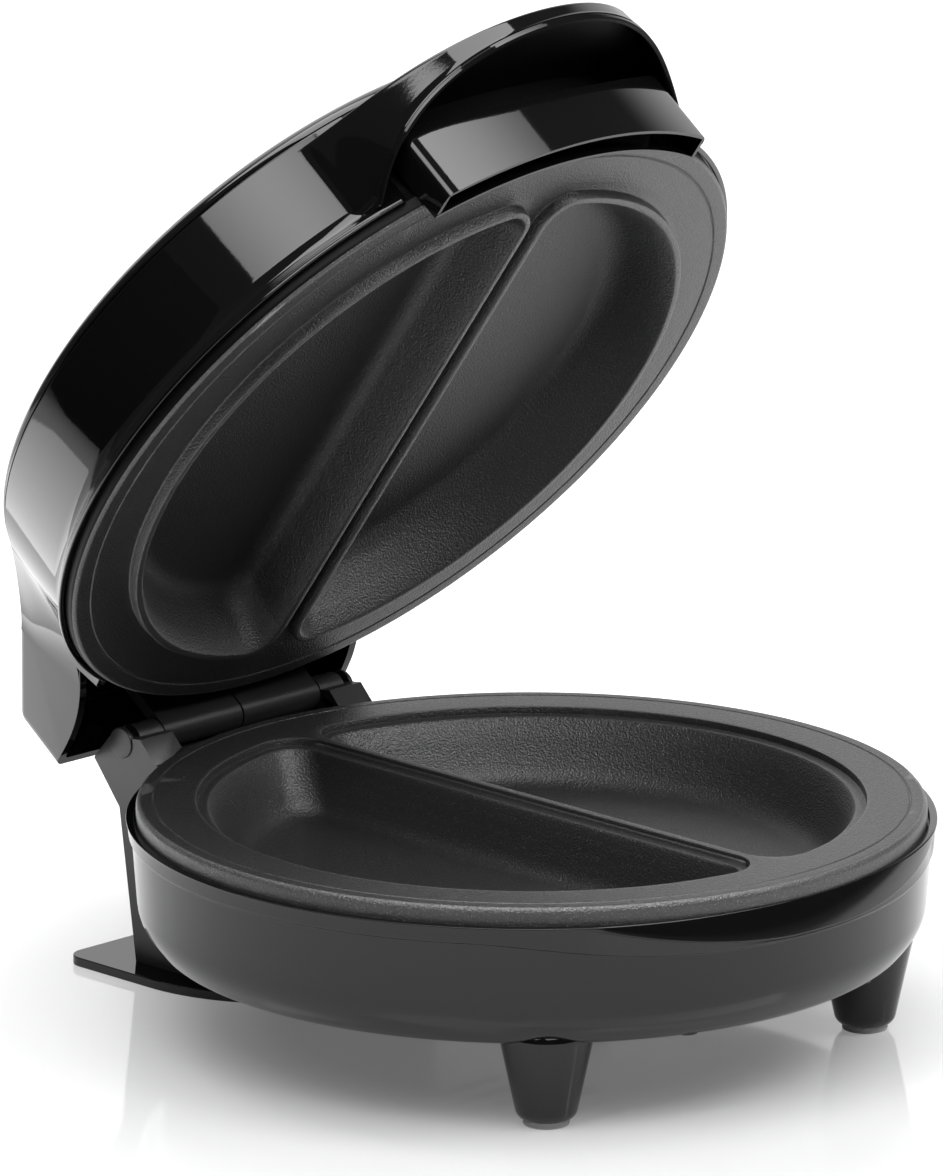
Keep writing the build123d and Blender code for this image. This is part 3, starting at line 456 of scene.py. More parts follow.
def sector_edge(radius, height):
    """Loop of the same count along the outline of the half disc, for the area round the pans."""
    along = half_moon(0, 0)[0][1]
    loop = [(0.0, along - 2 * along * i / straight_steps) for i in range(straight_steps)]
    half = corner_steps // 2
    arc_from = radians(86.0)
    for i in range(corner_steps):
        if i < half:
            loop.append((0.0, -along - (radius - along) * i / half))
        else:
            a = -pi / 2 + (pi / 2 - arc_from) * (i - half) / half
            loop.append((radius * cos(a), radius * sin(a)))
    for i in range(arc_steps):
        a = -arc_from + 2 * arc_from * i / arc_steps
        loop.append((radius * cos(a), radius * sin(a)))
    for i in range(corner_steps):
        if i < half:
            a = arc_from + (pi / 2 - arc_from) * i / half
            loop.append((radius * cos(a), radius * sin(a)))
        else:
            loop.append((0.0, radius - (radius - along) * (i - half) / half))
    return [(x, y, height) for x, y in loop]


print("points in a loop:", len(half_moon(0, 0)), len(sector_edge(84, 0)))

# %% [markdown]
# The loops go from the middle of the pan's floor out over the fillet, up the wall, across the collar
# or the ledge and out to a circle just beyond the pans. From that circle a turned ring makes the
# rim, its thin line and its rolled outer edge. A Solidify modifier gives the casting its thickness.

# %% Cooking plates
pan_depth, pan_middle = 15.6, 33.0
floor_radius, floor_inset = 71.0, 7.1
fillet_share, fillet_reach, fillet_steps = 0.70, 4.6, 8
field_radius = 84.0
mouth_edge = [(0.10, 0.30), (0.30, 0.08), (0.62, 0.0)]
edge_width, edge_drop = 1.1, 0.9
plate_sheet = 1.9


def cooking_plate(name, radius, crest, outer_loops, skirt, flip, level, body, node, side_painted_light):
    """Plate whose pans open at the crest height over the rim plane, which is zero before placing."""
    top, floor = crest, crest - pan_depth
    wall_top = half_moon(0, top)
    wall_foot = half_moon(0, floor, floor_radius, floor_inset)
    fillet_start = mixed(wall_top, wall_foot, fillet_share)
    fillet_end = half_moon(-fillet_reach, floor, floor_radius, floor_inset)
    middle = [(pan_middle, 0.0, floor)] * len(wall_top)
    loops = [mixed(middle, fillet_end, share) for share in (0.0, 0.3, 0.6, 0.85)]
    for step in range(fillet_steps + 1):
        t = 1 - step / fillet_steps
        loops.append([
            tuple(a * (1 - t) ** 2 + b * 2 * t * (1 - t) + c * t ** 2 for a, b, c in zip(p, q, r))
            for p, q, r in zip(fillet_start, wall_foot, fillet_end)])
    loops += [mixed(wall_top, wall_foot, share) for share in (0.35, 0.055)]
    loops += [half_moon(grow, top - drop) for grow, drop in mouth_edge]
    loops += [half_moon(grow, height) for grow, height in outer_loops]
    outline = sector_edge(field_radius, 0.0)
    loops += [mixed(loops[-1], outline, 0.5), outline]
    skins = [skin([[(side * x, y, z) for x, y, z in loop] for loop in loops], False, True)
             for side in (1, -1)]
    arc = [p for p in outline if abs(p[0]) > 1e-6 or abs(abs(p[1]) - field_radius) < 1e-6]
    ring = sorted({round(atan2(y, side * x), 6) for x, y, _ in arc for side in (1, -1)})
    rim_line = rounded([
        (field_radius, 0, 0), (91.6, 0, 0.1), (92.0, -0.35, 0.2), (92.4, 0, 0.1),
        (radius - 0.9, 0, 1.0), (radius - 0.05, -1.1, 1.0), (radius, -2.4, 0.8), (radius, -skirt, 0.6),
        (radius - 1.2, -skirt, 0)], steps=5, closed=False)
    skins.append(skin([[(r * cos(a), r * sin(a), z) for r, z in rim_line] for a in ring], True, False))
    points, faces = joined(skins)
    points = [(x, y, level + flip * z) for x, y, z in points]
    piece = add_piece(name, points, faces, body, non_stick, "non_stick", node, crease=50.0)

    def outside(centre):
        """True for faces of the rolled outer edge and the skirt."""
        return sqrt(centre.x ** 2 + centre.y ** 2) > radius - edge_width

    # The rolled outer edge gets the lighter copy of the coating, a painted highlight.
    paint(piece, body, edge_highlight_coating, lambda centre, facing: outside(centre))
    # Below the rolled edge the side gets a further material: painted shade on the upper plate, a painted
    # highlight on the lower plate.
    paint(piece, body, side_painted_light,
          lambda centre, facing: outside(centre) and abs(centre.z - level) >= edge_drop)
    thick = piece.modifiers.new("cast_thickness", "SOLIDIFY")
    thick.thickness = plate_sheet * mm
    thick.offset = -1.0


cooking_plate(
    "upper_plate", 97.0, 2.9,
    [(1.75, 2.9), (1.95, 2.82), (2.08, 2.6), (2.16, 0.45), (2.28, 0.14), (2.55, 0.0)],
    4.0, -1, 59.0, "lid", "upper_cooking_plate", painted_shade_black)
cooking_plate(
    "lower_plate", 96.2, -1.9,
    [(1.7, -1.9), (2.75, -1.9), (2.95, -1.75), (3.0, -0.35), (3.12, -0.08), (3.4, 0.0)],
    6.0, 1, rim, "base", "lower_cooking_plate", edge_highlight_coating)

# %% [markdown]
# Between the two ledges of the lower plate runs a low ridge, rounded along its top. It is a short
# swept bar, sunk into the casting. With the lid shut, the collars of the upper plate pass on either
# side of it.

# %% Ridge of the lower plate
ridge_half_width, ridge_top, ridge_root = 1.85, -0.95, -2.4
ridge_half_length, ridge_steps = 74.0, 40
ridge_section = rounded([
    (-ridge_half_width, ridge_root, 0), (-ridge_half_width, ridge_top, 0.5),
    (ridge_half_width, ridge_top, 0.5), (ridge_half_width, ridge_root, 0)], steps=5)
ridge_rows = []
for i in range(ridge_steps + 1):
    along = ridge_half_length * (2 * i / ridge_steps - 1)
    ridge_rows.append([(x, along, rim + z) for x, z in ridge_section])
add_piece("lower_ridge", *skin(ridge_rows, False, True, caps=True), "base", non_stick, "non_stick")

# %% [markdown]
# ## The lid
# The side of the lid is an upright band that flares into a thin lip round the upper plate. The band
# is a plain turned ring. The visor that grows out of its front comes next, as a skin of its own.

# %% Lid band
band_radius, parting, band_segments = 94.8, 92.1, 720
lid_lip_radius, lip_hidden = 98.7, 95.6
visor_covers, hood_covers = radians(29.0), radians(148.0)
front_fade, rear_fade, cover_margin, hood_inside = 0.02, 0.03, 0.03, 47.5


def band_section(angle):
    """Closed section of the band; the lip draws back where the visor and the hood cover it."""
    turned = min(angle, 2 * pi - angle)
    past_visor = smooth(turned, visor_covers - front_fade, visor_covers)
    shown = past_visor * (1 - smooth(turned, hood_covers, hood_covers + rear_fade))
    edge = lip_hidden + (lid_lip_radius - lip_hidden) * shown
    inner = edge - 1.3
    return rounded([
        (inner, 62.2, 0.2), (edge, 62.2, 0.45), (edge - 0.1, 63.3, 0.45),
        (min(95.9, edge - 0.8), 65.6, 1.6), (band_radius, 68.6, 2.6),
        (band_radius, parting, 0.5), (93.4, parting - 0.1, 0.3), (93.2, parting - 1.4, 0.2),
        (92.4, parting - 1.4, 0.2), (92.4, 68.5, 1.5), (91.2, 65.4, 0.4), (91.2, 63.2, 0.2),
        (inner, 63.2, 0.1),
    ], steps=5)


def band_covered(centre, facing):
    """True for faces of the band inside the visor or the hood."""
    in_hood = centre.y > 0 and abs(centre.x) < hood_inside
    return in_hood or atan2(abs(centre.x), -centre.y) < visor_covers - cover_margin


lid_band = add_piece("lid_band", *skin(turn(band_section, band_segments)), "lid", gloss_black,
                     "gloss_shell", "lid_housing")
# Faces of the band inside the visor and the hood get painted shade.
paint(lid_band, "lid", painted_shade_black, band_covered)

# %% [markdown]
# The visor is a half-round shell that leaves the band in a soft flare, runs forward over the grip
# and ends below in an arch with a rolled lip. Its outline in plan is the band's circle and a smaller
# circle joined by a smooth union, so the flare comes by itself. Each column of the skin starts at
# the top of the dome's foot, goes over the roof, down the front, round the lip and back up inside.

# %% Visor
visor_radius, visor_centre = 54.3, -67.0
visor_tip = visor_centre - visor_radius
flare_blend, visor_half_angle, visor_steps = 9.0, radians(44.0), 180
arch_radius, arch_middle, arch_foot = 57.0, rim - 36.5, 64.4
visor_top, visor_pitch = rim + 26.7, 0.138
visor_wall, roof_sheet = 1.6, 2.2


def reach_at(angle):
    """Distance from the plate axis to the outline at an angle from the front."""
    offset = abs(visor_centre) * sin(angle)
    front = 0.0
    if abs(offset) < visor_radius:
        front = abs(visor_centre) * cos(angle) + sqrt(visor_radius ** 2 - offset ** 2)
    gap = min(max((front - band_radius) / flare_blend, -1.0), 1.0)
    return max(front, band_radius) + flare_blend * (1 - abs(gap)) ** 3 / 6


def visor_column(angle):
    """Closed (radius, height) section of the visor, from the dome over the roof and round the lip."""
    outer = reach_at(angle)
    y = -outer * cos(angle)
    arch = sqrt(max(arch_radius ** 2 - (y - visor_tip) ** 2, 0.0))
    low = max(arch_middle + arch, arch_foot)
    high = min(visor_top + visor_pitch * (y - visor_tip), parting)
    proud = smooth(outer - band_radius, 0.0, 2.0)
    face = outer - 0.5 * (1 - proud)
    brow = 0.6 + 0.5 * proud
    lean = 0.12 * smooth(outer - band_radius, 0.0, 14.0)
    shoulder = face - lean * (high - brow - low)
    back = band_radius - 1.5
    crown = min(0.12 * (outer - band_radius), 2.0)
    inner = max(face - visor_wall, back + 0.2)
    ceiling = high - roof_sheet
    column = [(back - 0.6, high + crown)]
    for k in range(1, 6):
        t = k / 6
        column.append((back + (shoulder - brow - back) * t, high + crown * (1 - t) ** 1.6))
    for k in range(10):
        t = k / 9 * pi / 2
        column.append((shoulder - brow * (1 - sin(t)), high - brow * (1 - cos(t))))
    for k in range(1, 9):
        z = high - brow + (low + 1.9 - high + brow) * k / 9
        column.append((face - lean * (z - low), z))
    column += [(face - 0.1, low + 1.9), (face - 0.35, low + 1.65), (face - 0.35, low + 1.3),
               (face, low + 1.05), (face - 0.05, low + 0.35), (face - 0.45, low),
               (inner + 0.4, low), (inner, low + 0.4)]
    for k in range(1, 6):
        column.append((inner, low + 0.4 + (ceiling - low - 0.4) * k / 6))
    column += [(inner - 0.6 * proud, ceiling), (back, ceiling)]
    return column


def visor_inside(centre, facing):
    """True for faces of the visor's inner wall and ceiling."""
    outward = Vector((centre.x, centre.y - visor_centre, 0)).normalized()
    return facing.dot(outward) < -0.3 or facing.z < -0.7


visor_rows = []
for i in range(visor_steps + 1):
    angle = visor_half_angle * (2 * i / visor_steps - 1)
    visor_rows.append([(r * sin(angle), -r * cos(angle), z) for r, z in visor_column(angle)])
visor = add_piece("visor", *skin(visor_rows, False, True, caps=True), "lid", gloss_black, "gloss_shell",
                  crease=40.0)
# The visor's inner wall and ceiling get painted shade.
paint(visor, "lid", painted_shade_black, visor_inside)

# %% [markdown]
# The grip is a wedge that stands on the lip of the lid inside the visor. Its front is round, its top
# leans back and its ends are flat. Columns of points at even steps across give the round front, and
# a Bevel modifier softens the long edges and the ends.

# %% Grip
grip_front, grip_back, grip_half, grip_wall = 104.6, 97.4, 43.6, 0.9
grip_top, grip_pitch = rim + 13.0, 0.577
grip_foot, hollow_top, hollow_shut = 54.7, 60.5, 54.8
end_round, end_wall = 1.5, 1.2
end_steps, middle_steps = 8, 28
ends = [grip_half - end_round * (1 - cos(pi / 2 * i / end_steps)) for i in range(end_steps + 1)]
inner_steps = [(grip_half - end_round) * i / middle_steps for i in range(middle_steps)]
half_steps = sorted(inner_steps + ends)
grip_rows = []
for x in [-x for x in half_steps[:0:-1]] + half_steps:
    past = max(abs(x) - (grip_half - end_round), 0.0)
    set_back = end_round - sqrt(max(end_round ** 2 - past ** 2, 0.0))
    front, back = -sqrt(grip_front ** 2 - x * x) + set_back, -sqrt(grip_back ** 2 - x * x)
    ceiling = hollow_top if abs(x) < grip_half - end_wall else hollow_shut
    section = [(back, grip_foot), (back - grip_wall, grip_foot), (back - grip_wall, ceiling),
               (front + grip_wall, ceiling), (front + grip_wall, grip_foot), (front, grip_foot)]
    section += [(y, grip_top + grip_pitch * (y + grip_front)) for y in (front, back)]
    grip_rows.append([(x, y, z) for y, z in section])
grip = add_piece("grip_wedge", *skin(grip_rows, False, True, caps=True), "lid", gloss_black,
                 "gloss_shell", "grip_block", crease=25.0)
soft_edge = grip.modifiers.new("soft_edge", "BEVEL")
soft_edge.width = 0.55 * mm
soft_edge.segments = 3
soft_edge.limit_method = "ANGLE"
soft_edge.angle_limit = radians(40)
soft_edge.harden_normals = True

# %% [markdown]
# The dome closes the lid. Its side rises steeply and rolls over into an almost flat top, which is
# the curve of a superellipse. It sits in the band with a fine dark joint line.

# %% Dome
dome_radius, dome_rise, dome_sheet, joint_gap = 94.5, 14.0, 2.2, 0.35
dome_foot = parting + joint_gap
side_power, top_power, dome_steps, dome_segments = 2 / 2.9, 2 / 1.9, 40, 256


def dome_line(radius, rise):
    """Points of the superellipse from the rim to the middle."""
    line = []
    for step in range(dome_steps):
        a = pi / 2 * step / dome_steps
        line.append((radius * cos(a) ** side_power, dome_foot + rise * sin(a) ** top_power))
    return line + [(0.0, dome_foot + rise)]


outer_dome = dome_line(dome_radius, dome_rise - joint_gap)
inner_dome = dome_line(dome_radius - dome_sheet, dome_rise - dome_sheet - joint_gap)
dome_section = [(92.2, parting - 1.2), (93.0, parting - 1.2), (93.7, parting + 0.1)]
dome_section += outer_dome + inner_dome[::-1]
add_piece("lid_dome", *skin(turn(lambda angle: dome_section, dome_segments)), "lid", gloss_black,
          "gloss_shell", "lid_top_cover")

# %% [markdown]
# The hood reaches back from the dome over the hinge. It is a hollow box with flat sides, a top that
# falls in two slopes and a lower edge that arches up to the stand. The outer and inner boxes are
# drawn from their side outlines with bevelled edges, and a Boolean takes the inner one out.

# %% Hood
drum_segments = 192


def slab(name, outline, half_width, bevel=0.0, segments=1):
    """Prism across the cooker from a (y, z) outline, with rounded edges, not yet in its place."""
    rows = [[(x, y, z) for y, z in outline] for x in (-half_width, half_width)]
    points, faces = skin(rows, False, True, caps=True)
    mesh = bpy.data.meshes.new(name)
    mesh.from_pydata(points, [], faces)
    work = bmesh.new()
    work.from_mesh(mesh)
    bmesh.ops.recalc_face_normals(work, faces=work.faces)
    if bevel:
        sharp = [e for e in work.edges if e.calc_face_angle(0) > radians(12)]
        bmesh.ops.bevel(work, geom=sharp, offset=bevel, segments=segments, profile=0.5, affect="EDGES",
                        clamp_overlap=True)
    work.to_mesh(mesh)
    work.free()
    return linked(name, mesh)


def drum(name, radius, low, high):
    """Upright cylinder on the plate axis, not yet in its place."""
    turns = [2 * pi * i / drum_segments for i in range(drum_segments)]
    rows = [[(radius * cos(a), radius * sin(a), z) for a in turns] for z in (low, high)]
    points, faces = skin(rows, False, True, caps=True)
    mesh = bpy.data.meshes.new(name)
    mesh.from_pydata(points, [], faces)
    return linked(name, mesh)


def cut(piece, other):
    """Takes the other unplaced piece out of the first; the other one is used up."""
    step = piece.modifiers.new("cut", "BOOLEAN")
    step.operation = "DIFFERENCE"
    step.solver = "EXACT"
    step.object = other
    graph = bpy.context.evaluated_depsgraph_get()
    mesh = bpy.data.meshes.new_from_object(piece.evaluated_get(graph))
    piece.modifiers.clear()
    piece.data = mesh
    bpy.data.objects.remove(other)


def put(piece, body, material, slot_name, *replaced, crease=plain_crease):
    """Places a piece that was built in millimetres."""
    piece.data.transform(places[body])
    piece.data.materials.clear()
    piece.data.materials.append(material)
    settle(piece, crease)
    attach(piece, body)
    if replaced:
        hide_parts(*replaced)
    print(piece.name, "faces:", len(piece.data.polygons))


hood_half, hood_rear, hood_sheet, hood_bevel, hollow_bevel = 48.0, 118.5, 2.2, 2.6, 1.2
hollow_rear = hood_rear - hood_sheet
hood_outer = [(52, 60), (hood_rear, 60), (hood_rear, 81.2), (96.5, 96.9), (84, 100.1), (68, 101.6),
              (52, 101.6)]
hood_inner = [(50, 58), (hollow_rear, 58), (hollow_rear, 80.0), (95.7, 94.4), (83, 97.6), (50, 97.6)]
hood = slab("hood", hood_outer, hood_half, hood_bevel, 5)
cut(hood, slab("hood_hollow", hood_inner, hood_half - hood_sheet, hollow_bevel, 2))
arch_front, arch_low, arch_rise, lip_level = 90.5, 64.6, 9.2, 65.8


def hood_edge(y):
    """Height of the hood's lower edge: an arch behind, and the lid's lip in front of it."""
    if y < arch_front:
        return lip_level
    return arch_low + arch_rise * ((hood_rear - y) / (hood_rear - arch_front)) ** 3


arch_steps, arch_half_width = 24, 60
arch_length = hood_rear - arch_front
arch = [(40, 50), (130, 50), (130, arch_low)]
for i in range(arch_steps + 1):
    y = hood_rear - arch_length * i / arch_steps
    arch.append((y, hood_edge(y)))
arch += [(arch_front - 0.1, lip_level), (40, lip_level)]
cut(hood, slab("arch_cut", arch, arch_half_width))
cut(hood, drum("lid_room", band_radius - 1.0, 50.0, parting - 0.5))
put(hood, "lid", gloss_black, "gloss_shell", crease=32.0)

# %% [markdown]
# Where the side of the hood meets the band, the moulding has a concave corner with a wide radius. In
# plan that is a curve that leaves the band's circle along its tangent and ends along the hood's flat
# side. It starts further forward at the top than at the lip, which gives the lid its drawn-out waist.

# %% Hood corners
round_steps, height_steps, blend_steps = 28, 12, 8
corner_inner_x, corner_inner_y, corner_rear = 45.0, 79.5, 97.0
blend_from, blend_turn, blend_start_y = radians(51.0), radians(11.0), 62.0
blend_radius, blend_top, below_top = band_radius - 0.6, parting - 0.3, 0.6


def corner_point(t, z):
    """Point of the corner's face, from the band at t = 0 to the side of the hood at t = 1."""
    up = smooth(z, lip_level, parting)
    a = radians(38.0 + 13.0 * up)
    start = Vector((band_radius * sin(a), band_radius * cos(a)))
    bend = Vector((hood_half, start.y + (start.x - hood_half) * tan(a)))
    end = Vector((hood_half, 95.0 + 4.0 * up))
    return start * (1 - t) ** 2 + bend * 2 * t * (1 - t) + end * t ** 2


def hood_top(y):
    """Height of the hood's top edge at its side."""
    line = hood_outer[:1:-1]
    for (y0, z0), (y1, z1) in zip(line, line[1:]):
        if y <= y1:
            return z0 + (z1 - z0) * (y - y0) / (y1 - y0)
    return line[-1][1]


def levels(low, top):
    """Even heights from low to top."""
    return [low + (top - low) * k / height_steps for k in range(height_steps + 1)]


def corner_rows(side):
    """Rows of one corner: a blend along the band up to the hood's top edge, then the corner's face."""
    inner_x, rows = side * corner_inner_x, []
    for i in range(blend_steps, 0, -1):
        a = blend_from + blend_turn * i / blend_steps
        y = corner_inner_y + (blend_start_y - corner_inner_y) * i / blend_steps
        x_out, y_out = side * blend_radius * sin(a), blend_radius * cos(a)
        row = [(x_out, y_out, z) for z in levels(lip_level, blend_top)]
        rows.append(row + [(inner_x, y, hood_top(y) - below_top), (inner_x, y, parting)])
    for i in range(round_steps + 1):
        t = i / round_steps
        y = corner_inner_y + (corner_rear - corner_inner_y) * t
        top = parting - 0.1 + 1.4 * t + 3.0 * sin(pi * t)
        low = hood_edge(corner_point(t, lip_level).y)
        face = [(corner_point(t, z), z) for z in levels(low, top)]
        row = [(side * point.x, point.y, z) for point, z in face]
        rows.append(row + [(inner_x, y, hood_top(y) - below_top), (inner_x, y, low + 1.0)])
    return rows


points, faces = joined(skin(corner_rows(side), False, True, caps=True) for side in (-1, 1))
add_piece("hood_corners", points, faces, "lid", gloss_black, "gloss_shell", crease=40.0)

# %% [markdown]
# ## Stand, hinge and sole plate
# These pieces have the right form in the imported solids, but their edges are dead sharp. A copy of
# each solid is welded, its flat faces are joined again, and a small bevel rounds every edge.

# %% Softened copies
solid_weld = 0.00001


def softened(node, name, body, material, width):
    """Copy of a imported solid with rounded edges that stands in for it."""
    mesh = nodes[node].data.copy()
    work = bmesh.new()
    work.from_mesh(mesh)
    bmesh.ops.remove_doubles(work, verts=work.verts, dist=solid_weld)
    bmesh.ops.dissolve_limit(work, angle_limit=radians(1.0), verts=work.verts, edges=work.edges)
    work.to_mesh(mesh)
    work.free()
    mesh.materials.clear()
    mesh.materials.append(material)
    piece = linked(name, mesh)
    settle(piece, plain_crease)
    bevel = piece.modifiers.new("edge", "BEVEL")
    bevel.width = width * mm
    bevel.segments = 2
    bevel.limit_method = "ANGLE"
    bevel.angle_limit = radians(35)
    bevel.harden_normals = True
    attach(piece, body)
    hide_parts(node)
    print(name, "faces:", len(mesh.polygons))


softened("rear_stand", "stand_body", "base", satin_black, 0.6)
softened("rear_sole_plate", "sole_plate", "base", gloss_black, 0.5)
softened("hinge_bracket", "hinge_knuckles", "lid", satin_black, 0.35)
softened("cord_inlet_ring", "cord_inlet", "base", satin_black, 0.3)

# %% [markdown]
# The ends of the hinge pin are hidden by two small round caps, each a turned disc with a soft edge.

# %% Hinge caps
cap_inner, cap_outer, cap_radius, cap_segments = 37.2, 38.35, 3.9, 48
cap_section = rounded([
    (cap_inner, 0, 0), (cap_inner, cap_radius, 0.1), (cap_outer, cap_radius, 0.3), (cap_outer, 0, 0)],
    steps=4, closed=False)


def cap_rows(side):
    """Rows of points round the hinge pin at one of its ends."""
    y, z = hinge_point.y, hinge_point.z
    turns = [2 * pi * i / cap_segments for i in range(cap_segments)]
    return [[(side * x, y + r * cos(a), z + r * sin(a)) for x, r in cap_section] for a in turns]


points, faces = joined(skin(cap_rows(side), True, False) for side in (-1, 1))
add_piece("hinge_caps", points, faces, "base", satin_black, "satin_shell")

# %% [markdown]
# The pieces inside, and the screws, keep their solids and only get a finish.

# %% Finishes of the inner pieces
inner_finishes = {
    satin_black: ["base_bottom_cover", "hinge_pin", "lower_plate_screws", "bottom_cover_screws"],
    plain_steel: ["stand_screws", "sole_plate_screws", "lower_heating_element", "lower_reflector_screw",
                  "thermostat", "thermal_fuse", "top_cover_screws", "grip_screws",
                  "hinge_bracket_screws", "upper_plate_screws", "upper_heating_element",
                  "upper_reflector_screw"],
    bright_sheet: ["lower_heat_reflector", "upper_heat_reflector"],
    pale_moulding: ["terminal_block"],
    lead_sleeve: ["base_leads", "lid_leads"],
    lamp_board: ["indicator_board"],
    red_lens: ["indicator_lenses"],
}
for material, names in inner_finishes.items():
    for name in names:
        nodes[name].data.materials.clear()
        nodes[name].data.materials.append(material)
        settle(nodes[name], plain_crease)
print("finished solids:", sum(len(names) for names in inner_finishes.values()))

# %% [markdown]
# ## Floor and light
# The cooker stands on a wide white sheet with a faint gloss, so its feet and base mirror softly in
# it. The sheet glows, which is painted light: the glow is weak near the cooker, so the sheet stays
# darker round it and the real shadow shows, and it is pure white away from the cooker. The cooker's
# own gloss mirrors the sheet, and there the glow is a painted reflection, bright round a spot behind
# on the right and dim further out, so its far front falls off into the dark, which is what makes
# black plastic read as black with bright edges.

# %% Floor
floor_reach, fade_width = 30.0, 0.4
fade_stops = [(0.055, 0.13), (0.118, 0.4), (0.3, 0.95)]
lit_centre, lit_radius, dark_radius, dark_level = (0.55, 0.55, 0.0), 0.95, 1.25, 0.1
corners = [(x * floor_reach, y * floor_reach, 0) for x, y in ((-1, -1), (1, -1), (1, 1), (-1, 1))]
floor_mesh = bpy.data.meshes.new("floor")
floor_mesh.from_pydata(corners, [], [(0, 1, 2, 3)])
floor = linked("floor", floor_mesh)
sheet, tree, shader = graph_of("white_sheet")
shader.inputs["Base Color"].default_value = (0.45, 0.45, 0.455, 1)
shader.inputs["Roughness"].default_value = 0.07
shader.inputs["IOR"].default_value = 1.45
shader.inputs["Emission Color"].default_value = (1, 1, 1, 1)
place = tree.nodes.new("ShaderNodeNewGeometry").outputs["Position"]
rays = tree.nodes.new("ShaderNodeLightPath").outputs
from_cooker = measured(tree, "DISTANCE", place, (0.0, plate_axis_shift * mm, 0.0))
stops = [(distance / fade_width, level) for distance, level in fade_stops]
# Painted light: the floor's glow is weak near the cooker and full away from it.
fade = ramped(tree, computed(tree, "DIVIDE", from_cooker, fade_width), stops, "EASE")
from_lit = measured(tree, "DISTANCE", place, lit_centre)
# Painted reflection: in mirrored views the glow is bright round a spot behind on the right and dim
# further out.
lit = ranged(tree, from_lit, 1.0, dark_level, lit_radius, dark_radius, "SMOOTHSTEP")
mirrored = computed(tree, "MULTIPLY", rays["Is Glossy Ray"], lit)
seen = computed(tree, "MAXIMUM", rays["Is Camera Ray"], mirrored)
seen_through = computed(tree, "MAXIMUM", seen, rays["Is Transmission Ray"])
tree.links.new(computed(tree, "MULTIPLY", fade, seen_through), shader.inputs["Emission Strength"])
floor_mesh.materials.append(sheet)
print("floor half width:", floor_reach)

# %% [markdown]
# The world is a plain studio. In its light and in every mirrored view, a white sweep stands behind
# the cooker and the rest of the room is dark. The camera itself sees plain white all round.

# %% World
sweep_toward, sweep_from, sweep_full, room_level = (0.68, 0.68, 0.27), 0.8, 0.93, 0.06
world = bpy.data.worlds.new("studio")
bpy.context.scene.world = world
world.use_nodes = True
tree = world.node_tree
background = tree.nodes["Background"]
background.inputs["Color"].default_value = (1, 1, 1, 1)
place = tree.nodes.new("ShaderNodeTexCoord").outputs["Generated"]
behind = measured(tree, "DOT_PRODUCT", place, sweep_toward)
sweep = ranged(tree, behind, 0.0, 1.0, sweep_from, sweep_full, "SMOOTHSTEP")
shade = ranged(tree, sweep, room_level, 1.0)
rays = tree.nodes.new("ShaderNodeLightPath").outputs
tree.links.new(computed(tree, "MAXIMUM", rays["Is Camera Ray"], shade), background.inputs["Strength"])
print("world ready")

# %% [markdown]
# Soft boxes are not even: the cloth is hottest near its lamp. So each box is an area light with its
# own radiance at both ends and in the middle, blended along its length. Its two end directions are
# the ones that black gloss shows as edges, which is why a box is set by directions and a distance.

# %% Soft boxes
def toward(azimuth, elevation):
    """Unit vector at a compass angle round the cooker, azimuth 0 in front and 90 on the right."""
    a, e = radians(azimuth), radians(elevation)
    return Vector((sin(a) * cos(e), -cos(a) * cos(e), sin(e)))


def soft_box(name, start, end, distance, width, radiance, aim):
    """Area light between two directions from the aim; radiance at the start, the middle and the end."""
    aim = Vector(aim)
    first, last = aim + toward(*start) * distance, aim + toward(*end) * distance
    centre, along = (first + last) / 2, last - first
    face = (centre - aim).normalized()
    side = along.cross(face).normalized()
    data = bpy.data.lights.new(name, "AREA")
    data.shape = "RECTANGLE"
    data.size, data.size_y = width, along.length
    data.energy = pi * width * along.length
    data.use_nodes = True
    tree = data.node_tree
    spot = tree.nodes.new("ShaderNodeNewGeometry")
    split = tree.nodes.new("ShaderNodeSeparateXYZ")
    tree.links.new(spot.outputs["Parametric"], split.inputs["Vector"])
    top = max(radiance)
    stops = [(place, level / top) for place, level in zip((0.0, 0.5, 1.0), radiance)]
    share = ramped(tree, split.outputs["Y"], stops, "B_SPLINE")
    glow = tree.nodes["Emission"].inputs["Strength"]
    tree.links.new(computed(tree, "MULTIPLY", share, top), glow)
    light = linked(name, data)
    turn_to = Matrix((side, along.normalized(), face)).transposed()
    light.matrix_world = Matrix.Translation(centre) @ turn_to.to_4x4()
    light.visible_camera = False
    print(name, [round(v, 2) for v in centre])
    return light


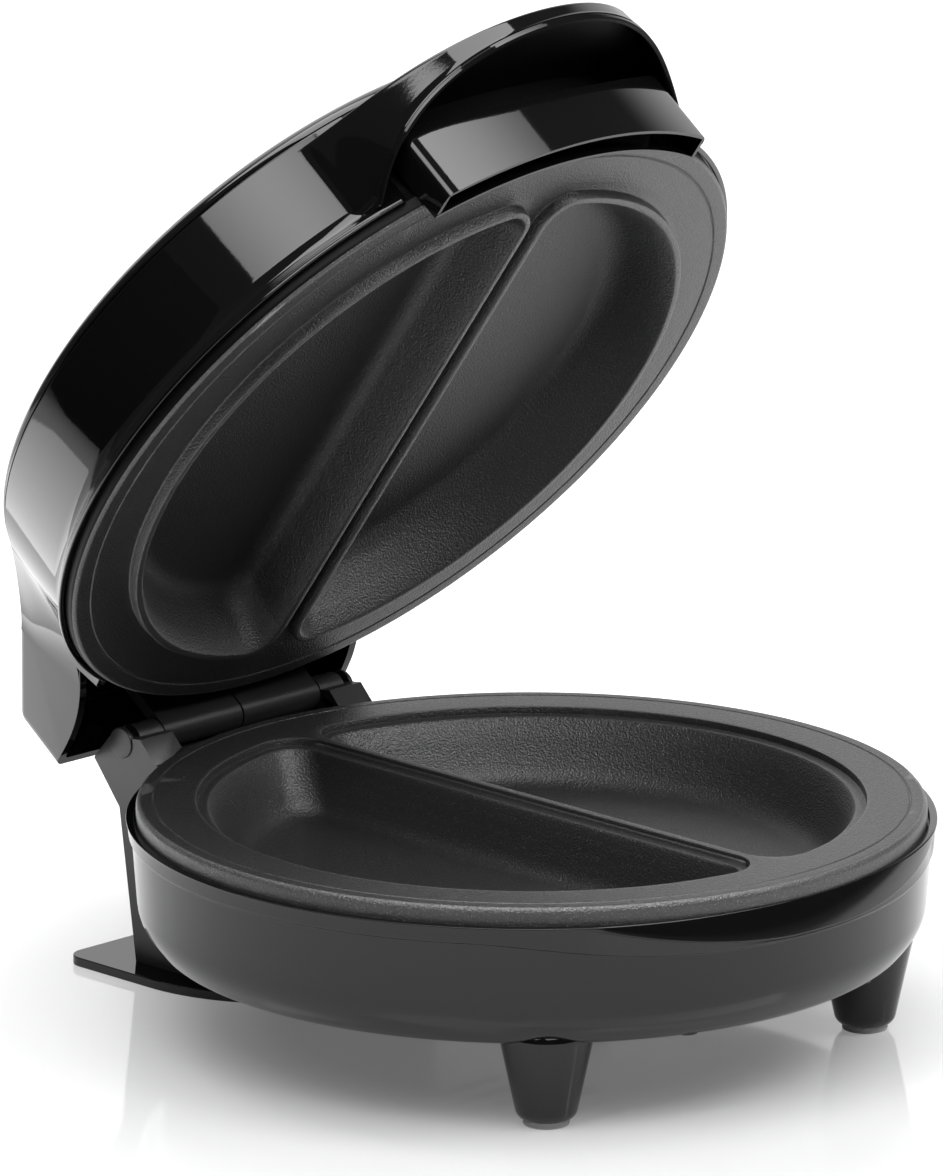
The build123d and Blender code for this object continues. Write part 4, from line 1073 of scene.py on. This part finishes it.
soft_box("left_box", (-91, 40), (-50, 71), 0.9, 0.5, (3.0, 7.5, 3.0), aim=(-0.07, -0.04, 0.18))
soft_box("right_box", (-2, 77), (74, 59), 0.9, 0.3, (7.5, 5.0, 1.2), aim=(0.0, -0.05, 0.22))
soft_box("back_box", (178, 40), (0, 84), 0.95, 0.5, (4.0, 5.0, 6.0), aim=(0.0, 0.0, 0.2))
soft_box("front_box", (-48, 46), (44, 34), 1.0, 0.36, (2.5, 4.5, 9.0), aim=(0.0, 0.0, 0.12))
card_place = Vector((-0.22, 0.34, 0.004))
card = soft_box("low_card", (-130, 2), (170, 2), 0.36, 0.3, (1.5, 2.3, 1.3), aim=(-0.02, 0.06, 0.0))
card.matrix_world = (Matrix.Translation(card_place) @ Matrix.Rotation(radians(90), 4, "Z")
                     @ Matrix.Rotation(pi, 4, "X"))

# %% [markdown]
# A black flag stands on the left, so that the side of the lid mirrors darkness between the soft box
# above and the pale floor behind. The camera does not see the flag itself.

# %% Black flag
flag_azimuth, flag_distance = -112, 0.78
flag_half_width, flag_low, flag_high = 0.36, 0.002, 0.62
flag_mesh = bpy.data.meshes.new("black_flag")
flag_mesh.from_pydata([(-flag_half_width, 0, flag_low), (flag_half_width, 0, flag_low),
                       (flag_half_width, 0, flag_high), (-flag_half_width, 0, flag_high)], [],
                      [(0, 1, 2, 3)])
flag = linked("black_flag", flag_mesh)
flag_place = toward(flag_azimuth, 0) * flag_distance
flag.matrix_world = Matrix.Translation(flag_place) @ Matrix.Rotation(radians(flag_azimuth), 4, "Z")
felt = finish("black_felt", (0.004, 0.004, 0.004), 0.9, 0.05, 30, 800, 0.0001)
felt.node_tree.nodes["Principled BSDF"].inputs["Specular IOR Level"].default_value = 0.0
flag_mesh.materials.append(felt)
flag.visible_camera = False
print("flag at:", [round(v, 2) for v in flag_place])

# %% [markdown]
# ## Camera
# A long lens from the front left, a little above the cooker.

# %% Camera
camera_azimuth, camera_elevation, camera_distance = -44.757, 15.0, 3.0
sensor_width, focal_pixels, height_pixels = 36.0, 12464.46, 1176
target = Vector((-0.02058, -0.01668, 0.11385))
away = toward(camera_azimuth, camera_elevation)
lens_data = bpy.data.cameras.new("camera")
lens_data.sensor_width = sensor_width
lens_data.lens = sensor_width * focal_pixels / height_pixels
lens_data.clip_end = 200.0
camera = linked("camera", lens_data)
camera.location = target + away * camera_distance
camera.rotation_mode = "QUATERNION"
camera.rotation_quaternion = (-away).to_track_quat("-Z", "Y")
bpy.context.scene.camera = camera
bpy.context.scene.view_settings.view_transform = "Standard"
print("lens:", round(lens_data.lens, 1))
